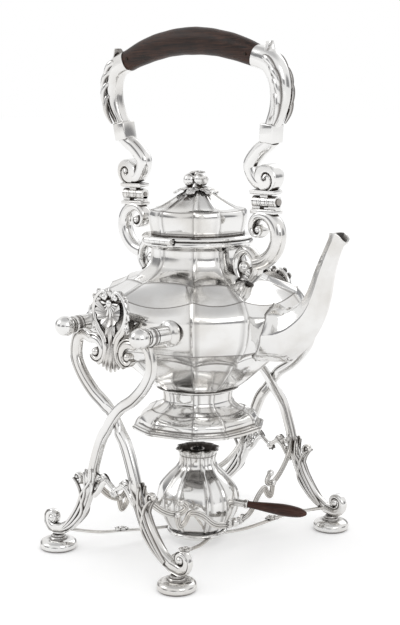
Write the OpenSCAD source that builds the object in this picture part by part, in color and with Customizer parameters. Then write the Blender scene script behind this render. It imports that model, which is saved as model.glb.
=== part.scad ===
// Spirit kettle on its stand: a panelled kettle with a hinged lid and a swing handle hangs
// on pins between two crossed-leg frames, over a spirit burner. Units are millimetres, +Z is
// up and the spout points to +X. The long side of the stand runs along Y.

/* [Kettle] */
// Height of the kettle's foot above the table
foot_z = 90; // [86:1:96]
// Radius of the foot's rim at its corners
foot_r = 50.6; // [46:0.2:54]
// Height of the foot, from its rim to the knife edge of the waist
foot_h = 28.5; // [25:0.5:34]
// Radius of the body at its corners
body_r = 82.8; // [70:0.2:84]
// Height of the body, from the waist to the top of the neck
body_h = 105; // [95:1:125]
// Radius of the neck at its corners
neck_r = 35.3; // [32:0.1:38]
// Thickness of the raised silver walls
wall = 1.4; // [1:0.1:2]
// Angle that one wide panel of the body takes
wide_panel = 45; // [38:1:50]
// How far a panel bows out, from 0 for flat to 1 for round
panel_bow = 0.3; // [0:0.05:1]

/* [Lid] */
// Radius of the kettle's rim and of the lid's flange
rim_r = 41.5; // [39:0.1:46]
// Height of the rim ring on the neck
rim_h = 7; // [5:0.5:9]
// Thickness of the lid's flange
flange_t = 2.6; // [2:0.1:4]
// Radius of the lid at its fullest
lid_r = 37; // [34:0.1:39]
// Height of the lid above its flange
lid_h = 31.5; // [26:0.5:38]
// Radius of the barrel of the lid's hinge
lid_barrel_r = 2.6; // [2.2:0.1:3]
// Length of the lid's hinge
lid_barrel_l = 26; // [20:1:32]
// Radius of the hinge pins
hinge_pin_r = 1.2; // [0.8:0.1:1.4]

/* [Spout] */
// Distance from the kettle's axis to the tip of the spout
spout_reach = 136.5; // [125:0.5:150]
// Height of the spout's mouth above the waist
spout_rise = 122.5; // [110:0.5:130]
// Half height of the spout where it leaves the body
spout_root_h = 24; // [20:0.5:26]
// Half width of the spout where it leaves the body
spout_root_w = 17; // [14:0.5:20]
// Radius of a hole of the strainer behind the spout
strain_r = 2.2; // [1.5:0.1:3]

/* [Handle] */
// How far the handle leans towards -Y as it stands at rest
bail_lean = 4.5; // [0:0.5:8]
// Height of the top of the wooden grip
grip_top = 386; // [376:1:396]
// Distance from the kettle's axis to the middle of a handle hinge
bail_x = 66; // [62:0.5:70]
// Height of the axis of the handle's hinges
bail_z = 262.8; // [260:0.2:268]
// Thickness of the grip in the middle
grip_t = 19.6; // [16:0.2:22]
// Width of the grip along Y in the middle
grip_w = 17; // [14:0.2:20]
// Thickness of the cast silver arms and brackets
arm_t = 12; // [9:0.2:14]
// Length of one handle hinge
bail_hinge_l = 22; // [18:0.5:26]
// Radius of the barrel of a handle hinge
bail_barrel_r = 4.2; // [3.6:0.1:4.6]

/* [Pins] */
// Distance from the kettle's axis to each of the pins that carry it
pin_x = 38; // [34:0.5:42]
// Height of the pins
pin_z = 174; // [170:0.5:178]
// Radius of a pin's shank
pin_r = 4; // [3:0.1:4.5]
// Radius of a pin's ball
pin_ball_r = 7.4; // [6:0.1:9]
// Radial play of each pin in its eyes
pin_play = 0.06; // [0.03:0.01:0.1]
// How thick the metal round a pin is
eye_wall = 2.5; // [2:0.1:3.5]

/* [Stand] */
// Distance from the middle to the middle plane of an end frame
frame_y = 87.5; // [87:0.1:95]
// Thickness of the end frames
frame_t = 6; // [5:0.2:7]
// Width of a leg
leg_w = 8.6; // [7:0.2:10]
// Distance from the middle to the middle of a foot
foot_x = 62; // [56:0.5:68]
// Height at which the legs cross
cross_z = 110; // [104:0.5:116]
// Radius of a foot's pad
pad_r = 14.2; // [12:0.2:16]
// Height of a foot's pad
pad_h = 9; // [7:0.5:11]

/* [Burner] */
// Radius of the burner at its fullest
burner_r = 31.7; // [27:0.1:33]
// Height of the burner's mouth above the table
burner_h = 72.5; // [66:0.5:76]
// Radius of the burner's mouth at its lip
mouth_r = 16; // [14:0.2:18]
// Length of the burner's wooden handle
stick_l = 46; // [40:1:56]
// How far the burner's handle is turned from the spout
stick_turn = 23; // [0:1:40]
// Radius of the ring that the burner sits in
seat_r = 21.2; // [20:0.1:23]

/* [Hidden] */
PARTS_ONCE = ["kettle_body", "kettle_foot", "waist_ring", "neck_rim", "spout", "lid_hinge_barrels",
    "lid_hinge_pin", "lid_dome", "lid_flange", "finial_leaves", "finial_fruits", "finial_nut",
    "bail_grip", "grip_rivets", "bail_hinge_pins", "burner_seat", "burner_body", "wick_holder",
    "wick", "burner_ferrule", "burner_stick"];
SIDES = ["front", "back"];
ENDS = ["near", "far"];

// Colours as they show on the object
SILVER = [0.86, 0.87, 0.88];
DARK_SILVER = [0.55, 0.54, 0.53];
WOOD = [0.16, 0.10, 0.08];
COTTON = [0.90, 0.87, 0.78];

// The least gap between pieces that only lie against each other
rest_gap = 0.1;
// How far a soldered casting reaches into the curved wall behind it
solder = 0.8;
// How far a cutting tool runs past what it cuts
past = 1;

// Steps along each wide and each narrow panel of a ring
wide_steps = 4;
narrow_steps = 2;
pitch = 72;
half_wide = wide_panel/2;
half_narrow = (pitch - wide_panel)/2;

// Heights of the kettle
waist_z = foot_z + foot_h;
waist_t = 3;
body_z = waist_z + waist_t;
neck_z = body_z + body_h;
rim_z = neck_z + rim_h;
flange_z = rim_z + rest_gap;
lid_z = flange_z + flange_t;

// Curves

// Point i of a list, held at its ends
function held(p, i) = p[max(0, min(len(p) - 1, i))];

// A smooth way from b to c, with a before and d after them
function between(a, b, c, d, t) =
    0.5*(2*b + (c - a)*t + (2*a - 5*b + 4*c - d)*t*t + (3*b - a - 3*c + d)*t*t*t);

// A smooth curve through the points p, with n steps between neighbours
function curve(p, n) = [
    for (i = [0:len(p) - 2]) for (s = [0:n - 1])
        between(held(p, i - 1), p[i], p[i + 1], held(p, i + 2), s/n),
    p[len(p) - 1]];

// Several curves one after another, which keep the crease where two of them meet
function creased(curves, n) = [for (i = [0:len(curves) - 1])
    each [for (j = [(i == 0 ? 0 : 1):1:(len(curves[i]) - 1)*n]) curve(curves[i], n)[j]]];

function mix(a, b, t) = a + (b - a)*t;
function unit(v) = v/norm(v);
function backwards(p) = [for (i = [len(p) - 1:-1:0]) p[i]];

// Ways: points in a plane, each with the half width that a band has there

// A way along the points p whose half width goes from w0 over w1 to w2
function wide(p, w0, w1, w2) = [for (i = [0:len(p) - 1]) let (t = i/(len(p) - 1))
    [p[i][0], p[i][1], mix(mix(w0, w1, t), mix(w1, w2, t), t)]];

// A scroll round c: its radius goes from r0 to r1 by the same share at each step, and the half
// width is a share of the radius, up to a limit
function scroll(c, r0, r1, a0, a1, share, limit, n) = [for (i = [0:n])
    let (r = r0*pow(r1/r0, i/n), a = mix(a0, a1, i/n))
    [c[0] + r*cos(a), c[1] + r*sin(a), min(share*r, limit)]];
function mirrored(way) = [for (p = way) [-p[0], p[1], p[2]]];

// Outline of the band along a way
function band(way) = let (n = len(way) - 1,
    side = [for (i = [0:n]) let (a = held(way, i - 1), b = held(way, i + 1),
        d = unit([b[0] - a[0], b[1] - a[1]])) way[i][2]*[-d[1], d[0]]])
    concat([for (i = [0:n]) [way[i][0], way[i][1]] + side[i]],
        [for (i = [n:-1:0]) [way[i][0], way[i][1]] - side[i]]);

// Skins

// Triangles of a skin over rings of n points; a shut skin joins its last ring to its first
function ring_faces(count, n, shut) = [
    for (i = [0:count - (shut ? 1 : 2)]) for (j = [0:n - 1])
        let (a = i*n + j, b = i*n + (j + 1)%n, c = ((i + 1)%count)*n + (j + 1)%n,
            d = ((i + 1)%count)*n + j)
        each [[a, c, b], [a, d, c]]];
function end_faces(count, n) = [[for (j = [0:n - 1]) j],
    [for (j = [n - 1:-1:0]) (count - 1)*n + j]];

module skin(rings, shut = false) {
    count = len(rings);
    n = len(rings[0]);
    polyhedron([for (r = rings) each r],
        shut ? ring_faces(count, n, true) : concat(ring_faces(count, n, false), end_faces(count, n)));
}

// Panels

// Round one ring: the angle, the half angle of its panel, and the angle from the panel's middle
ring_steps = [for (k = [0:360/pitch - 1]) each concat(
    [for (s = [0:wide_steps - 1]) let (t = half_wide*(2*s/wide_steps - 1))
        [k*pitch + t, half_wide, t]],
    [for (s = [0:narrow_steps - 1]) let (t = half_narrow*(2*s/narrow_steps - 1))
        [(k + 0.5)*pitch + t, half_narrow, t]])];

// Share of the corner radius that a panel of half angle h has at the angle t from its middle
function bowed(h, t) = mix(cos(h)/cos(t), 1, panel_bow*(1 - pow(t/h, 2)));

// One panelled ring; the share full is 1 for whole panels and 0 for a plain circle
function panelled_ring(r, z, full = 1) = [for (s = ring_steps)
    let (q = r*mix(1, bowed(s[1], s[2]), full)) [q*cos(s[0]), q*sin(s[0]), z]];
function panelled(profile, full = 1) = [for (p = profile) panelled_ring(p[0], p[1], full)];

// A wall's inner line: the profile moved in by t, square to itself
function inset(p, t) = [for (i = [0:len(p) - 1])
    let (d = unit(held(p, i + 1) - held(p, i - 1))) p[i] + t*[-d[1], d[0]]];

// Profiles of the kettle, as radius and height

foot_outer = creased([
    [[27, foot_h], [26.4, 23.5], [27.2, 20], [31, 16.7], [36.5, 14.6]],
    [[36.5, 14.6], [41.5, 12.2], [44.8, 8.6], [45.6, 4.4]],
    [[45.6, 4.4], [foot_r - 1.4, 3.4]],
    [[foot_r - 1.4, 3.4], [foot_r, 1.8]],
    [[foot_r, 1.8], [foot_r, 0]]], 2);
foot_inner = creased([
    [[foot_r - 1.6, 0], [44, 2]],
    [[44, 2], [43.4, 8], [40.4, 11], [35.5, 13.2]],
    [[35.5, 13.2], [30, 15.2], [25.8, 19.4], [25, 23.5], [25.4, foot_h]]], 2);

// Body profile as shares of its radius and of its height
body_share = [
    [[0.375, 0], [0.44, 0.035], [0.50, 0.075], [0.585, 0.135], [0.67, 0.195], [0.735, 0.245]],
    [[0.735, 0.245], [0.80, 0.275], [0.90, 0.34]],
    [[0.90, 0.34], [0.968, 0.42], [1, 0.53], [0.99, 0.61], [0.91, 0.705]],
    [[0.91, 0.705], [0.78, 0.742], [0.65, 0.78]]];
neck_line = [[0.65*body_r, 0.78*body_h], [0.55*body_r, 0.815*body_h],
    [neck_r + 3.5, 0.87*body_h], [neck_r + 0.4, 0.93*body_h], [neck_r, body_h]];
body_outer = creased(concat(
    [for (c = body_share) [for (p = c) [p[0]*body_r, p[1]*body_h]]], [neck_line]), 2);
body_inner = backwards(inset(body_outer, wall));

// Radius of the body's corners at the height z above its bottom
function body_r_at(z) = lookup(z, [for (p = body_outer) [p[1], p[0]]]);
// Radius of the body on its wide panel at the height z and the angle a from the panel's middle
function panel_r_at(z, a) = body_r_at(z)*bowed(half_wide, a);

module kettle_body() color(SILVER)
    difference() {
        translate([0, 0, body_z])
            skin(panelled(concat(
                body_outer,
                [for (p = body_inner) if (p[1] > wall) p],
                [[body_outer[0][0] - wall, wall]])));
        strainer();
    }

// Holes through the wall behind the spout
module strainer() {
    row_step = 3.4*strain_r;
    for (i = [-1:1], j = [-1:1])
        if (abs(i) + abs(j) < 2 || i*j == 1 || i*j == -1)
            translate([body_r/2, i*row_step, body_z + 0.45*body_h + j*row_step])
                rotate([0, 90, 0]) cylinder(r = strain_r, h = body_r, $fn = 32);
}

module kettle_foot() color(SILVER)
    translate([0, 0, foot_z])
        skin(panelled(concat(backwards(foot_inner), backwards(foot_outer))), shut = true);

// Round knife-edged ring between the foot and the body
module waist_ring() color(SILVER)
    translate([0, 0, waist_z])
        rotate_extrude($fn = 96)
            polygon([[0, 0], [27.4, 0], [31.2, waist_t - 1.2], [31.2, waist_t - 0.8], [30.4, waist_t],
                [0, waist_t]]);

// Round rim on the neck, cut out for the lid's hinge
module neck_rim() color(SILVER)
    difference() {
        translate([0, 0, neck_z])
            rotate_extrude($fn = 96)
                polygon(concat(
                    [[neck_r - 3.2, 0], [neck_r + 0.8, 0]],
                    [for (a = [-60:20:90]) [rim_r - 2.4 + 2.4*cos(a), rim_h - 2.6 + 2.4*sin(a)]],
                    [[rim_r - 2.6, rim_h], [neck_r - 3.2, rim_h]]));
        hinge_notch(lid_barrel_r + 0.5);
    }

// Lid hinge

hinge_y = -(rim_r - 1);
hinge_z = rim_z;

module hinge_notch(r)
    translate([-lid_barrel_l/2 - 1.2, hinge_y, hinge_z])
        rotate([0, 90, 0]) cylinder(r = r, h = lid_barrel_l + 2.4, $fn = 48);

// One stretch of a hinge barrel along X, from x0 to x1
module barrel(x0, x1, r)
    translate([x0, 0, 0]) rotate([0, 90, 0]) cylinder(r = r, h = x1 - x0, $fn = 48);

lid_knuckle = lid_barrel_l/5;

// Kettle's knuckles of the lid hinge: the outer two and the middle one, with their leaf
module lid_hinge_barrels() color(SILVER)
    difference() {
        translate([0, hinge_y, hinge_z]) {
            for (k = [0, 2, 4]) {
                x0 = -lid_barrel_l/2 + k*lid_knuckle;
                barrel(x0 + 0.1, x0 + lid_knuckle - 0.1, lid_barrel_r);
                translate([x0 + 0.1, 0, -lid_barrel_r - 1.2])
                    cube([lid_knuckle - 0.2, 3.6, lid_barrel_r + 0.6]);
            }
            translate([-lid_barrel_l/2 + 0.1, 0.6, -lid_barrel_r - 1.2])
                cube([lid_barrel_l - 0.2, 3, 1.2]);
        }
        translate([0, hinge_y, hinge_z])
            barrel(-lid_barrel_l, lid_barrel_l, hinge_pin_r + 0.03);
    }

module lid_hinge_pin() color(SILVER)
    translate([0, hinge_y, hinge_z]) {
        barrel(-lid_barrel_l/2 - 0.8, lid_barrel_l/2 + 0.8, hinge_pin_r);
        barrel(-lid_barrel_l/2 - 0.8, -lid_barrel_l/2, hinge_pin_r + 0.6);
    }

// Lid

bezel_r = neck_r - 3.6;
bezel_h = 5;

// Round flange with the bezel that drops into the neck and the lid's two knuckles
module lid_flange() color(SILVER)
    difference() {
        union() {
            difference() {
                translate([0, 0, flange_z])
                    rotate_extrude($fn = 96)
                        polygon([[bezel_r - wall, -bezel_h], [bezel_r, -bezel_h], [bezel_r, 0],
                            [rim_r - 0.8, 0], [rim_r, 0.8], [rim_r, 1.6], [rim_r - 1.4, flange_t],
                            [bezel_r - wall, flange_t]]);
                hinge_notch(lid_barrel_r + 0.3);
            }
            translate([0, hinge_y, hinge_z])
                for (k = [1, 3]) {
                    x0 = -lid_barrel_l/2 + k*lid_knuckle;
                    barrel(x0 + 0.1, x0 + lid_knuckle - 0.1, lid_barrel_r);
                    translate([x0 + 0.1, 0, 0.3]) cube([lid_knuckle - 0.2, 5, flange_t - 0.3]);
                }
        }
        translate([0, hinge_y, hinge_z])
            barrel(-lid_barrel_l, lid_barrel_l, hinge_pin_r + 0.06);
    }

lid_share = [
    [[0.945, 0], [0.955, 0.07], [0.99, 0.28], [1, 0.44], [0.985, 0.54], [0.955, 0.59]],
    [[0.955, 0.59], [0.80, 0.64], [0.56, 0.79], [0.37, 0.93], [0.24, 1]]];
lid_outer = creased([for (c = lid_share) [for (p = c) [p[0]*lid_r, p[1]*lid_h]]], 2);
lid_inner = backwards(inset(lid_outer, wall));

module lid_dome() color(SILVER)
    difference() {
        translate([0, 0, lid_z])
            skin(panelled(concat([for (p = lid_inner) if (p[1] > 0.4) p],
                [[lid_outer[0][0] - wall, 0]], lid_outer)), shut = false);
        translate([0, 0, lid_z]) cylinder(r = stud_r + 0.05, h = 2*lid_h, $fn = 32);
    }

// Finial: a screwed stud holds leaves and fruits on the lid

stud_r = 1.6;
finial_z = lid_z + lid_h;
berry_r = 4.7;

// Fruits of the finial: radius share, angle, distance from the axis, height
fruits = [[1, -150, 4.9, 7.6], [0.88, -25, 4.6, 8.4], [0.8, 80, 4.2, 7.4], [0.62, 0, 0.2, 12]];

module finial_fruits() color(SILVER)
    translate([0, 0, finial_z]) {
        for (f = fruits)
            rotate([0, 0, f[1]]) translate([f[2], 0, f[3]]) sphere(r = f[0]*berry_r, $fn = 40);
        translate([0, 0, 2.2]) cylinder(r1 = 5.4, r2 = 3.4, h = 6, $fn = 40);
        translate([-1.4, 0.6, 12.8]) rotate([0, -16, 205]) translate([-3.4, 0, 0])
            skin(leaf_rings(10.4, 4.8, 1.6, -1.8));
    }

// One curved leaf from the finial's middle to its tip: length, width, rise and droop
function leaf_rings(l, w, rise, droop) = [for (i = [0:6]) let (t = i/6,
    half = w/2*sin(mix(22, 172, t)),
    m = [mix(2.5, l, t), 0, 0.3 + rise*sin(180*min(1, 1.15*t)) - droop*t*t])
    [m + [0, half, 0.5], m + [0, 0, 1.4], m + [0, -half, 0.5], m + [0, -half, -0.1],
        m + [0, 0, 0.4], m + [0, half, -0.1]]];

module finial_leaves() color(SILVER)
    translate([0, 0, finial_z + 0.2]) {
        for (k = [0:5])
            rotate([0, 0, 60*k - 12]) skin(leaf_rings(k%2 == 0 ? 15.2 : 13.2, 6.6, 1.8, 3.6));
        difference() {
            cylinder(r = 5, h = 2, $fn = 40);
            translate([0, 0, -past]) cylinder(r = stud_r + 0.05, h = 2, $fn = 32);
        }
    }

module finial_nut() color(SILVER)
    translate([0, 0, finial_z]) {
        translate([0, 0, -wall - 4.4]) cylinder(r = 4.2, h = 2.4, $fn = 6);
        translate([0, 0, -wall - 2]) cylinder(r = 5.4, h = 1, $fn = 48);
        translate([0, 0, -wall - 6]) cylinder(r = stud_r, h = wall + 7, $fn = 32);
    }

// Spout

// Stations along the spout: place along its reach and its rise, direction, half height, half width
mouth_z = body_z + spout_rise;
root_mid_z = body_z + 0.455*body_h;
spout_way = [
    [0.615, 0.02, 12, 20.6, 15.4],
    [0.70, 0.095, 36, 15.6, 12.9],
    [0.785, 0.24, 56, 11.8, 10.4],
    [0.835, 0.42, 68, 9.2, 8.8],
    [0.868, 0.62, 70, 7.6, 7.4],
    [0.905, 0.80, 63, 6.3, 6.5],
    [0.938, 0.93, 62, 6.1, 6.1],
    [0.955, 0.985, 70, 8.0, 6.0]];
spout_sides = 16;

// Place of the section's corner at the angle a, as shares of its half width and half height
function section_share(a) = let (t = a%45 - 22.5) mix(cos(22.5)/cos(t), 1, 0.35)*[cos(a), sin(a)];

function station(s, t) = [for (i = [0:spout_sides - 1])
    let (q = section_share(360*i/spout_sides + 0.001), up = s[2] + 90,
        w = (s[4] - t)*q[0], h = (s[3] - t)*q[1])
    [s[0]*spout_reach + h*cos(up), w, mix(root_mid_z, mouth_z, s[1]) + h*sin(up)]];

// The ring where the spout meets the panel behind it, a distance d outside the panel
function root_ring(t, d) = [for (i = [0:spout_sides - 1])
    let (q = section_share(360*i/spout_sides + 0.001),
        y = (spout_root_w - t)*q[0], h = (spout_root_h - t)*q[1],
        r0 = body_r_at(root_mid_z + h - body_z), r = panel_r_at(root_mid_z + h - body_z, asin(y/r0)))
    [sqrt(r*r - y*y) + d, y, root_mid_z + h]];

spout_smooth = curve(spout_way, 2);
spout_rings = concat([root_ring(0, -solder/2)], [for (s = spout_smooth) station(s, 0)],
    [for (s = backwards(spout_smooth)) station(s, wall)], [root_ring(wall, -solder/2)]);

module spout() color(SILVER) skin(spout_rings, shut = true);

// Sweeps

// One oval section round p, square to the way d: half thickness u in the plane, v across it
function oval(p, d, side, u, v, n) = let (across = unit(cross(side, d)))
    [for (i = [0:n - 1]) let (a = 360*i/n + 180/n) p + u*cos(a)*across + v*sin(a)*side];

// Rings along a way of points [x, y, z, u, v] that lies square to side
function swept(way, side, n) = [for (i = [0:len(way) - 1])
    let (a = held(way, i - 1), b = held(way, i + 1), p = way[i])
    oval([p[0], p[1], p[2]], unit([b[0] - a[0], b[1] - a[1], b[2] - a[2]]), side, p[3], p[4], n)];

// A way in the XZ plane for a sweep whose half thickness along Y goes from v0 to v1
function upright(way, v0, v1) = [for (i = [0:len(way) - 1])
    [way[i][0], 0, way[i][1], way[i][2], mix(v0, v1, i/(len(way) - 1))]];

// Brackets that carry the handle on the kettle

plate_gap = bail_barrel_r + 1.6;
plate_t = 2.6;
plate_w = 10;
bracket_top = bail_z - plate_gap - plate_t;
bracket_eye = [bail_x - 4.5, bracket_top - 11.5];
bracket_c = scroll(bracket_eye, 2.3, 24.4, 400, -98, 0.37, 5.4, 25);
// Arch from the shoulder over a ball to the neck, on which the C stands
neck_ball = [neck_r + 11.6, neck_z - 11.8];
neck_arch = wide(curve([neck_ball + [7, -8.6], neck_ball + [11.6, -2], neck_ball + [9.6, 7.4],
    neck_ball + [2, 12.8], neck_ball + [-5.4, 8.6], neck_ball + [-7.2, -0.6],
    neck_ball + [-4, -8.8]], 3), 2.6, 4.4, 2.2);

module bracket_front() color(SILVER) bracket();
module bracket_back() color(SILVER) mirror([1, 0, 0]) bracket();

module bracket() {
    skin(swept(upright(bracket_c, 5.4, 5.6), [0, 1, 0], 8));
    skin(swept(upright(neck_arch, 5, 4), [0, 1, 0], 8));
    translate([neck_ball[0], 0, neck_ball[1]]) sphere(r = 4.6, $fn = 48);
    translate([neck_ball[0], 0, neck_ball[1]]) rotate([0, 133, 0])
        cylinder(r1 = 4, r2 = 2.4, h = 10.4, $fn = 32);
    difference() {
        union() {
            translate([bail_x - bail_hinge_l/2, -plate_w/2, bracket_top])
                cube([bail_hinge_l, plate_w, plate_t]);
            translate([bail_x, 0, bail_z])
                for (s = [-1, 1]) {
                    x0 = s < 0 ? -bail_hinge_l/2 : bail_hinge_l/6 + 0.1;
                    barrel(x0, x0 + bail_hinge_l/3 - 0.1, bail_barrel_r);
                    translate([x0, -2.6, -plate_gap]) cube([bail_hinge_l/3 - 0.1, 5.2, plate_gap]);
                }
        }
        translate([bail_x, 0, bail_z]) barrel(-bail_hinge_l, bail_hinge_l, hinge_pin_r + 0.53);
    }
}

bail_pin_r = hinge_pin_r + 0.5;

module bail_hinge_pins() color(DARK_SILVER)
    for (s = [0, 1]) mirror([s, 0, 0])
        translate([bail_x, 0, bail_z]) {
            barrel(-bail_hinge_l/2 - 0.7, bail_hinge_l/2 + 0.7, bail_pin_r);
            barrel(bail_hinge_l/2 + 0.1, bail_hinge_l/2 + 1.1, bail_pin_r + 0.8);
        }

// Handle

foot_plate_z = bail_z + plate_gap;
collar = [bail_x + 7.2, bail_z + 48.2];
// Lower scroll of an arm: from the collar it bulges inwards and turns up into a volute
bail_eye = [bail_x + 3.8, foot_plate_z + plate_t + 8.8];
volute_r = 9.6;
bail_c = wide(curve([collar + [1, -4.6], collar + [-4.2, -8.4], collar + [-11, -12.6],
    bail_eye + [-15.4, 10], bail_eye + [-14.6, 3], bail_eye + [-9.8, -3.2],
    bail_eye + [-3.6, -4.6]], 3), 4.6, 6.6, 4.2);

// Half height of the collar block between the arm and its lower scroll
collar_h = 6.6;

// Where the middle line of the grip ends, and how far it has dropped there
grip_sag = 12.4;
grip_end = [63.5, grip_top - grip_t/2 - grip_sag];

// Middle line of the upper arm, from the collar to the end of the grip
arm_line = curve([collar + [1, collar_h - 2], collar + [6.8, 15], collar + [9.6, 26],
    collar + [8.6, 38], collar + [2.4, 48], grip_end], 3);

// The handle as it stands at rest, leaned over about its hinges
module leaned() translate([0, 0, bail_z]) rotate([bail_lean, 0, 0]) translate([0, 0, -bail_z])
    children();

module bail_arm_front() color(SILVER) leaned() bail_arm();
module bail_arm_back() color(SILVER) leaned() mirror([1, 0, 0]) bail_arm();

arm_rings = swept(upright(wide(arm_line, arm_t/2 - 1.2, arm_t/2 + 2.6, arm_t/2 + 2),
    arm_t/2 - 0.6, arm_t/2 + 1.6), [0, 1, 0], 10);

module bail_arm() {
    skin(arm_rings);
    translate([collar[0], 0, collar[1]]) rotate([0, 8, 0])
        cube([arm_t - 0.4, arm_t + 0.8, 2*collar_h], center = true);
    skin(swept(upright(bail_c, arm_t/2 - 0.2, arm_t/2 - 0.6), [0, 1, 0], 8));
    translate([bail_eye[0], 0, bail_eye[1]]) rotate([90, 0, 0]) {
        cylinder(r = volute_r, h = arm_t - 2, center = true, $fn = 64);
        cylinder(r = 3.6, h = arm_t, center = true, $fn = 32);
    }
    difference() {
        union() {
            translate([bail_x - bail_hinge_l/2, -plate_w/2, foot_plate_z])
                cube([bail_hinge_l, plate_w, plate_t]);
            translate([bail_x, 0, bail_z]) {
                barrel(-bail_hinge_l/6 + 0.1, bail_hinge_l/6 - 0.1, bail_barrel_r);
                translate([-bail_hinge_l/6 + 0.1, -2.6, 0])
                    cube([bail_hinge_l/3 - 0.2, 5.2, plate_gap]);
            }
        }
        translate([bail_x, 0, bail_z]) barrel(-bail_hinge_l, bail_hinge_l, bail_pin_r + 0.06);
    }
    // Acanthus leaf that lies on the outside of the arm, with its tip curled away from the grip
    skin(leaf_on_arm);
}

leaf_line = curve([collar + [9.6, 12], collar + [15.8, 26], collar + [14.6, 39], collar + [8.6, 50],
    collar + [-0.2, 60]], 3);
leaf_on_arm = swept([for (i = [0:len(leaf_line) - 1]) let (t = i/(len(leaf_line) - 1))
    [leaf_line[i][0], 0, leaf_line[i][1], mix(2.4, 1.2, t), 0.8 + 6.2*sin(mix(12, 168, t))]],
    [0, 1, 0], 6);

// Wooden grip: an arch that is thickest in the middle
grip_way = [for (i = [0:12]) let (t = i/6 - 1, k = 1 - t*t)
    [t*grip_end[0], 0, grip_top - grip_t/2 - grip_sag*t*t,
        mix(7.9, grip_t/2, k), mix(6.7, grip_w/2, k)]];

module bail_grip() color(WOOD) leaned() skin(swept(grip_way, [0, 1, 0], 16));

// Rivets through the grip's ends
module grip_rivets() color(SILVER)
    leaned() for (s = [-1, 1])
        translate([s*(grip_end[0] - 5), 0, grip_end[1] + 1.6])
            rotate([90, 0, 0]) cylinder(r = 1.1, h = 15.4, center = true, $fn = 24);

// Lugs and pins that carry the kettle

eye_r = pin_r + eye_wall;
frame_in = frame_y - frame_t/2;
frame_out = frame_y + frame_t/2;
lug_face = frame_in - 0.3;
lug_depth = 16;
boss_r = 9.4;

// A lug along -Y at the origin: a cupped boss on the body and a tube that takes the pin
module lug(is_open) difference() {
    union() {
        translate([0, -lug_face, 0]) rotate([-90, 0, 0]) {
            cylinder(r = eye_r, h = lug_depth, $fn = 64);
            translate([0, 0, lug_depth - 6.4]) rotate_extrude($fn = 64)
                polygon(concat([[0, 0]], [for (a = [0:15:90]) [boss_r*sin(a), 5 - 5*cos(a)]],
                    [[boss_r, 6.4], [0, 6.4]]));
        }
    }
    translate([0, -lug_face - past, 0]) rotate([-90, 0, 0])
        cylinder(r = pin_r + pin_play, h = pin_in + past, $fn = 64);
    if (is_open)
        translate([0, -lug_face + pin_in, 0]) rotate([90, 0, 0])
            linear_extrude(pin_in + past)
                polygon([[-pin_r - pin_play, 0], [pin_r + pin_play, 0],
                    [pin_r + 3, -boss_r - past], [-pin_r - 3, -boss_r - past]]);
}

// How far a pin reaches into its lug
pin_in = 10.5;

// Front lugs are closed eyes that the kettle tips on; the back ones lift off their pins
module lug_front_near() color(SILVER) translate([pin_x, 0, pin_z]) lug(false);
module lug_front_far() color(SILVER) mirror([0, 1, 0]) translate([pin_x, 0, pin_z]) lug(false);
module lug_back_near() color(SILVER) translate([-pin_x, 0, pin_z]) lug(true);
module lug_back_far() color(SILVER) mirror([0, 1, 0]) translate([-pin_x, 0, pin_z]) lug(true);

// A ball-headed pin along -Y
module pin() {
    ball_y = frame_out + pin_ball_r;
    translate([0, -ball_y, 0]) sphere(r = pin_ball_r, $fn = 64);
    translate([0, -frame_out - pin_ball_r, 0]) rotate([-90, 0, 0])
        cylinder(r = pin_r, h = frame_out + pin_ball_r - lug_face + pin_in - 0.5, $fn = 64);
    translate([0, -frame_out - 1.6, 0]) rotate([-90, 0, 0])
        cylinder(r = pin_r + 1.2, h = 1.4, $fn = 64);
}

module pin_front_near() color(SILVER) translate([pin_x, 0, pin_z]) pin();
module pin_front_far() color(SILVER) mirror([0, 1, 0]) translate([pin_x, 0, pin_z]) pin();
module pin_back_near() color(SILVER) translate([-pin_x, 0, pin_z]) pin();
module pin_back_far() color(SILVER) mirror([0, 1, 0]) translate([-pin_x, 0, pin_z]) pin();

// End frames

// Scrolls at the top and at the toe of a leg, in the plane of its frame
half_leg = leg_w/2;
top_eye = [16.4, pin_z - 16.8];
top_curl = scroll(top_eye, 4.2, 10.4, 330, 60, 0.42, half_leg - 0.5, 14);
toe_r = 8.2;
pad_neck = 2.2;
toe_eye = [foot_x + 4.6, pad_h + pad_neck + half_leg + toe_r - 0.8];
toe_curl = mirrored(scroll(toe_eye, toe_r, 2.7, -100, 250, 0.5, half_leg - 0.1, 16));

// The whole way of a leg: it starts in the scroll at the top on +X and ends in the toe on -X
leg_way = concat(top_curl, wide(curve([[29, pin_z - 4.8], [36.2, pin_z - 9.6], [38.4, 151.5],
    [32.4, 139.4], [20.5, 127.5], [6.4, cross_z + 8], [-6.4, cross_z - 8], [-12.8, 93], [-19.2, 77],
    [-23.6, 62], [-27.4, 49.5], [-34.5, 36], [-45.5, 23.6], [-57, 16.4]], 3),
    half_leg - 0.2, half_leg + 0.1, half_leg - 0.1), toe_curl);

module leg_outline() {
    polygon(band(leg_way));
    translate([-toe_eye[0], toe_eye[1]]) circle(r = 3.3, $fn = 32);
    translate(top_eye) circle(r = 5, $fn = 32);
}
module both_legs() for (s = [0, 1]) mirror([s, 0, 0]) leg_outline();

// A notch in a leg for the other one, over half the thickness of the frame from y0 on
module lap_notch(y0)
    translate([0, y0, 0]) rotate([90, 0, 0]) linear_extrude(frame_t/2 + 0.02)
        intersection() {
            mirror([1, 0, 0]) leg_outline();
            translate([-14, cross_z - 14]) square(28);
        }

// The eye on the shoulder of a leg that carries a pin
module pin_eye(hollow)
    translate([pin_x, frame_t/2, pin_z]) rotate([90, 0, 0])
        cylinder(r = hollow ? pin_r + pin_play : eye_r, h = frame_t + (hollow ? past : 0), $fn = 64);

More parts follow.
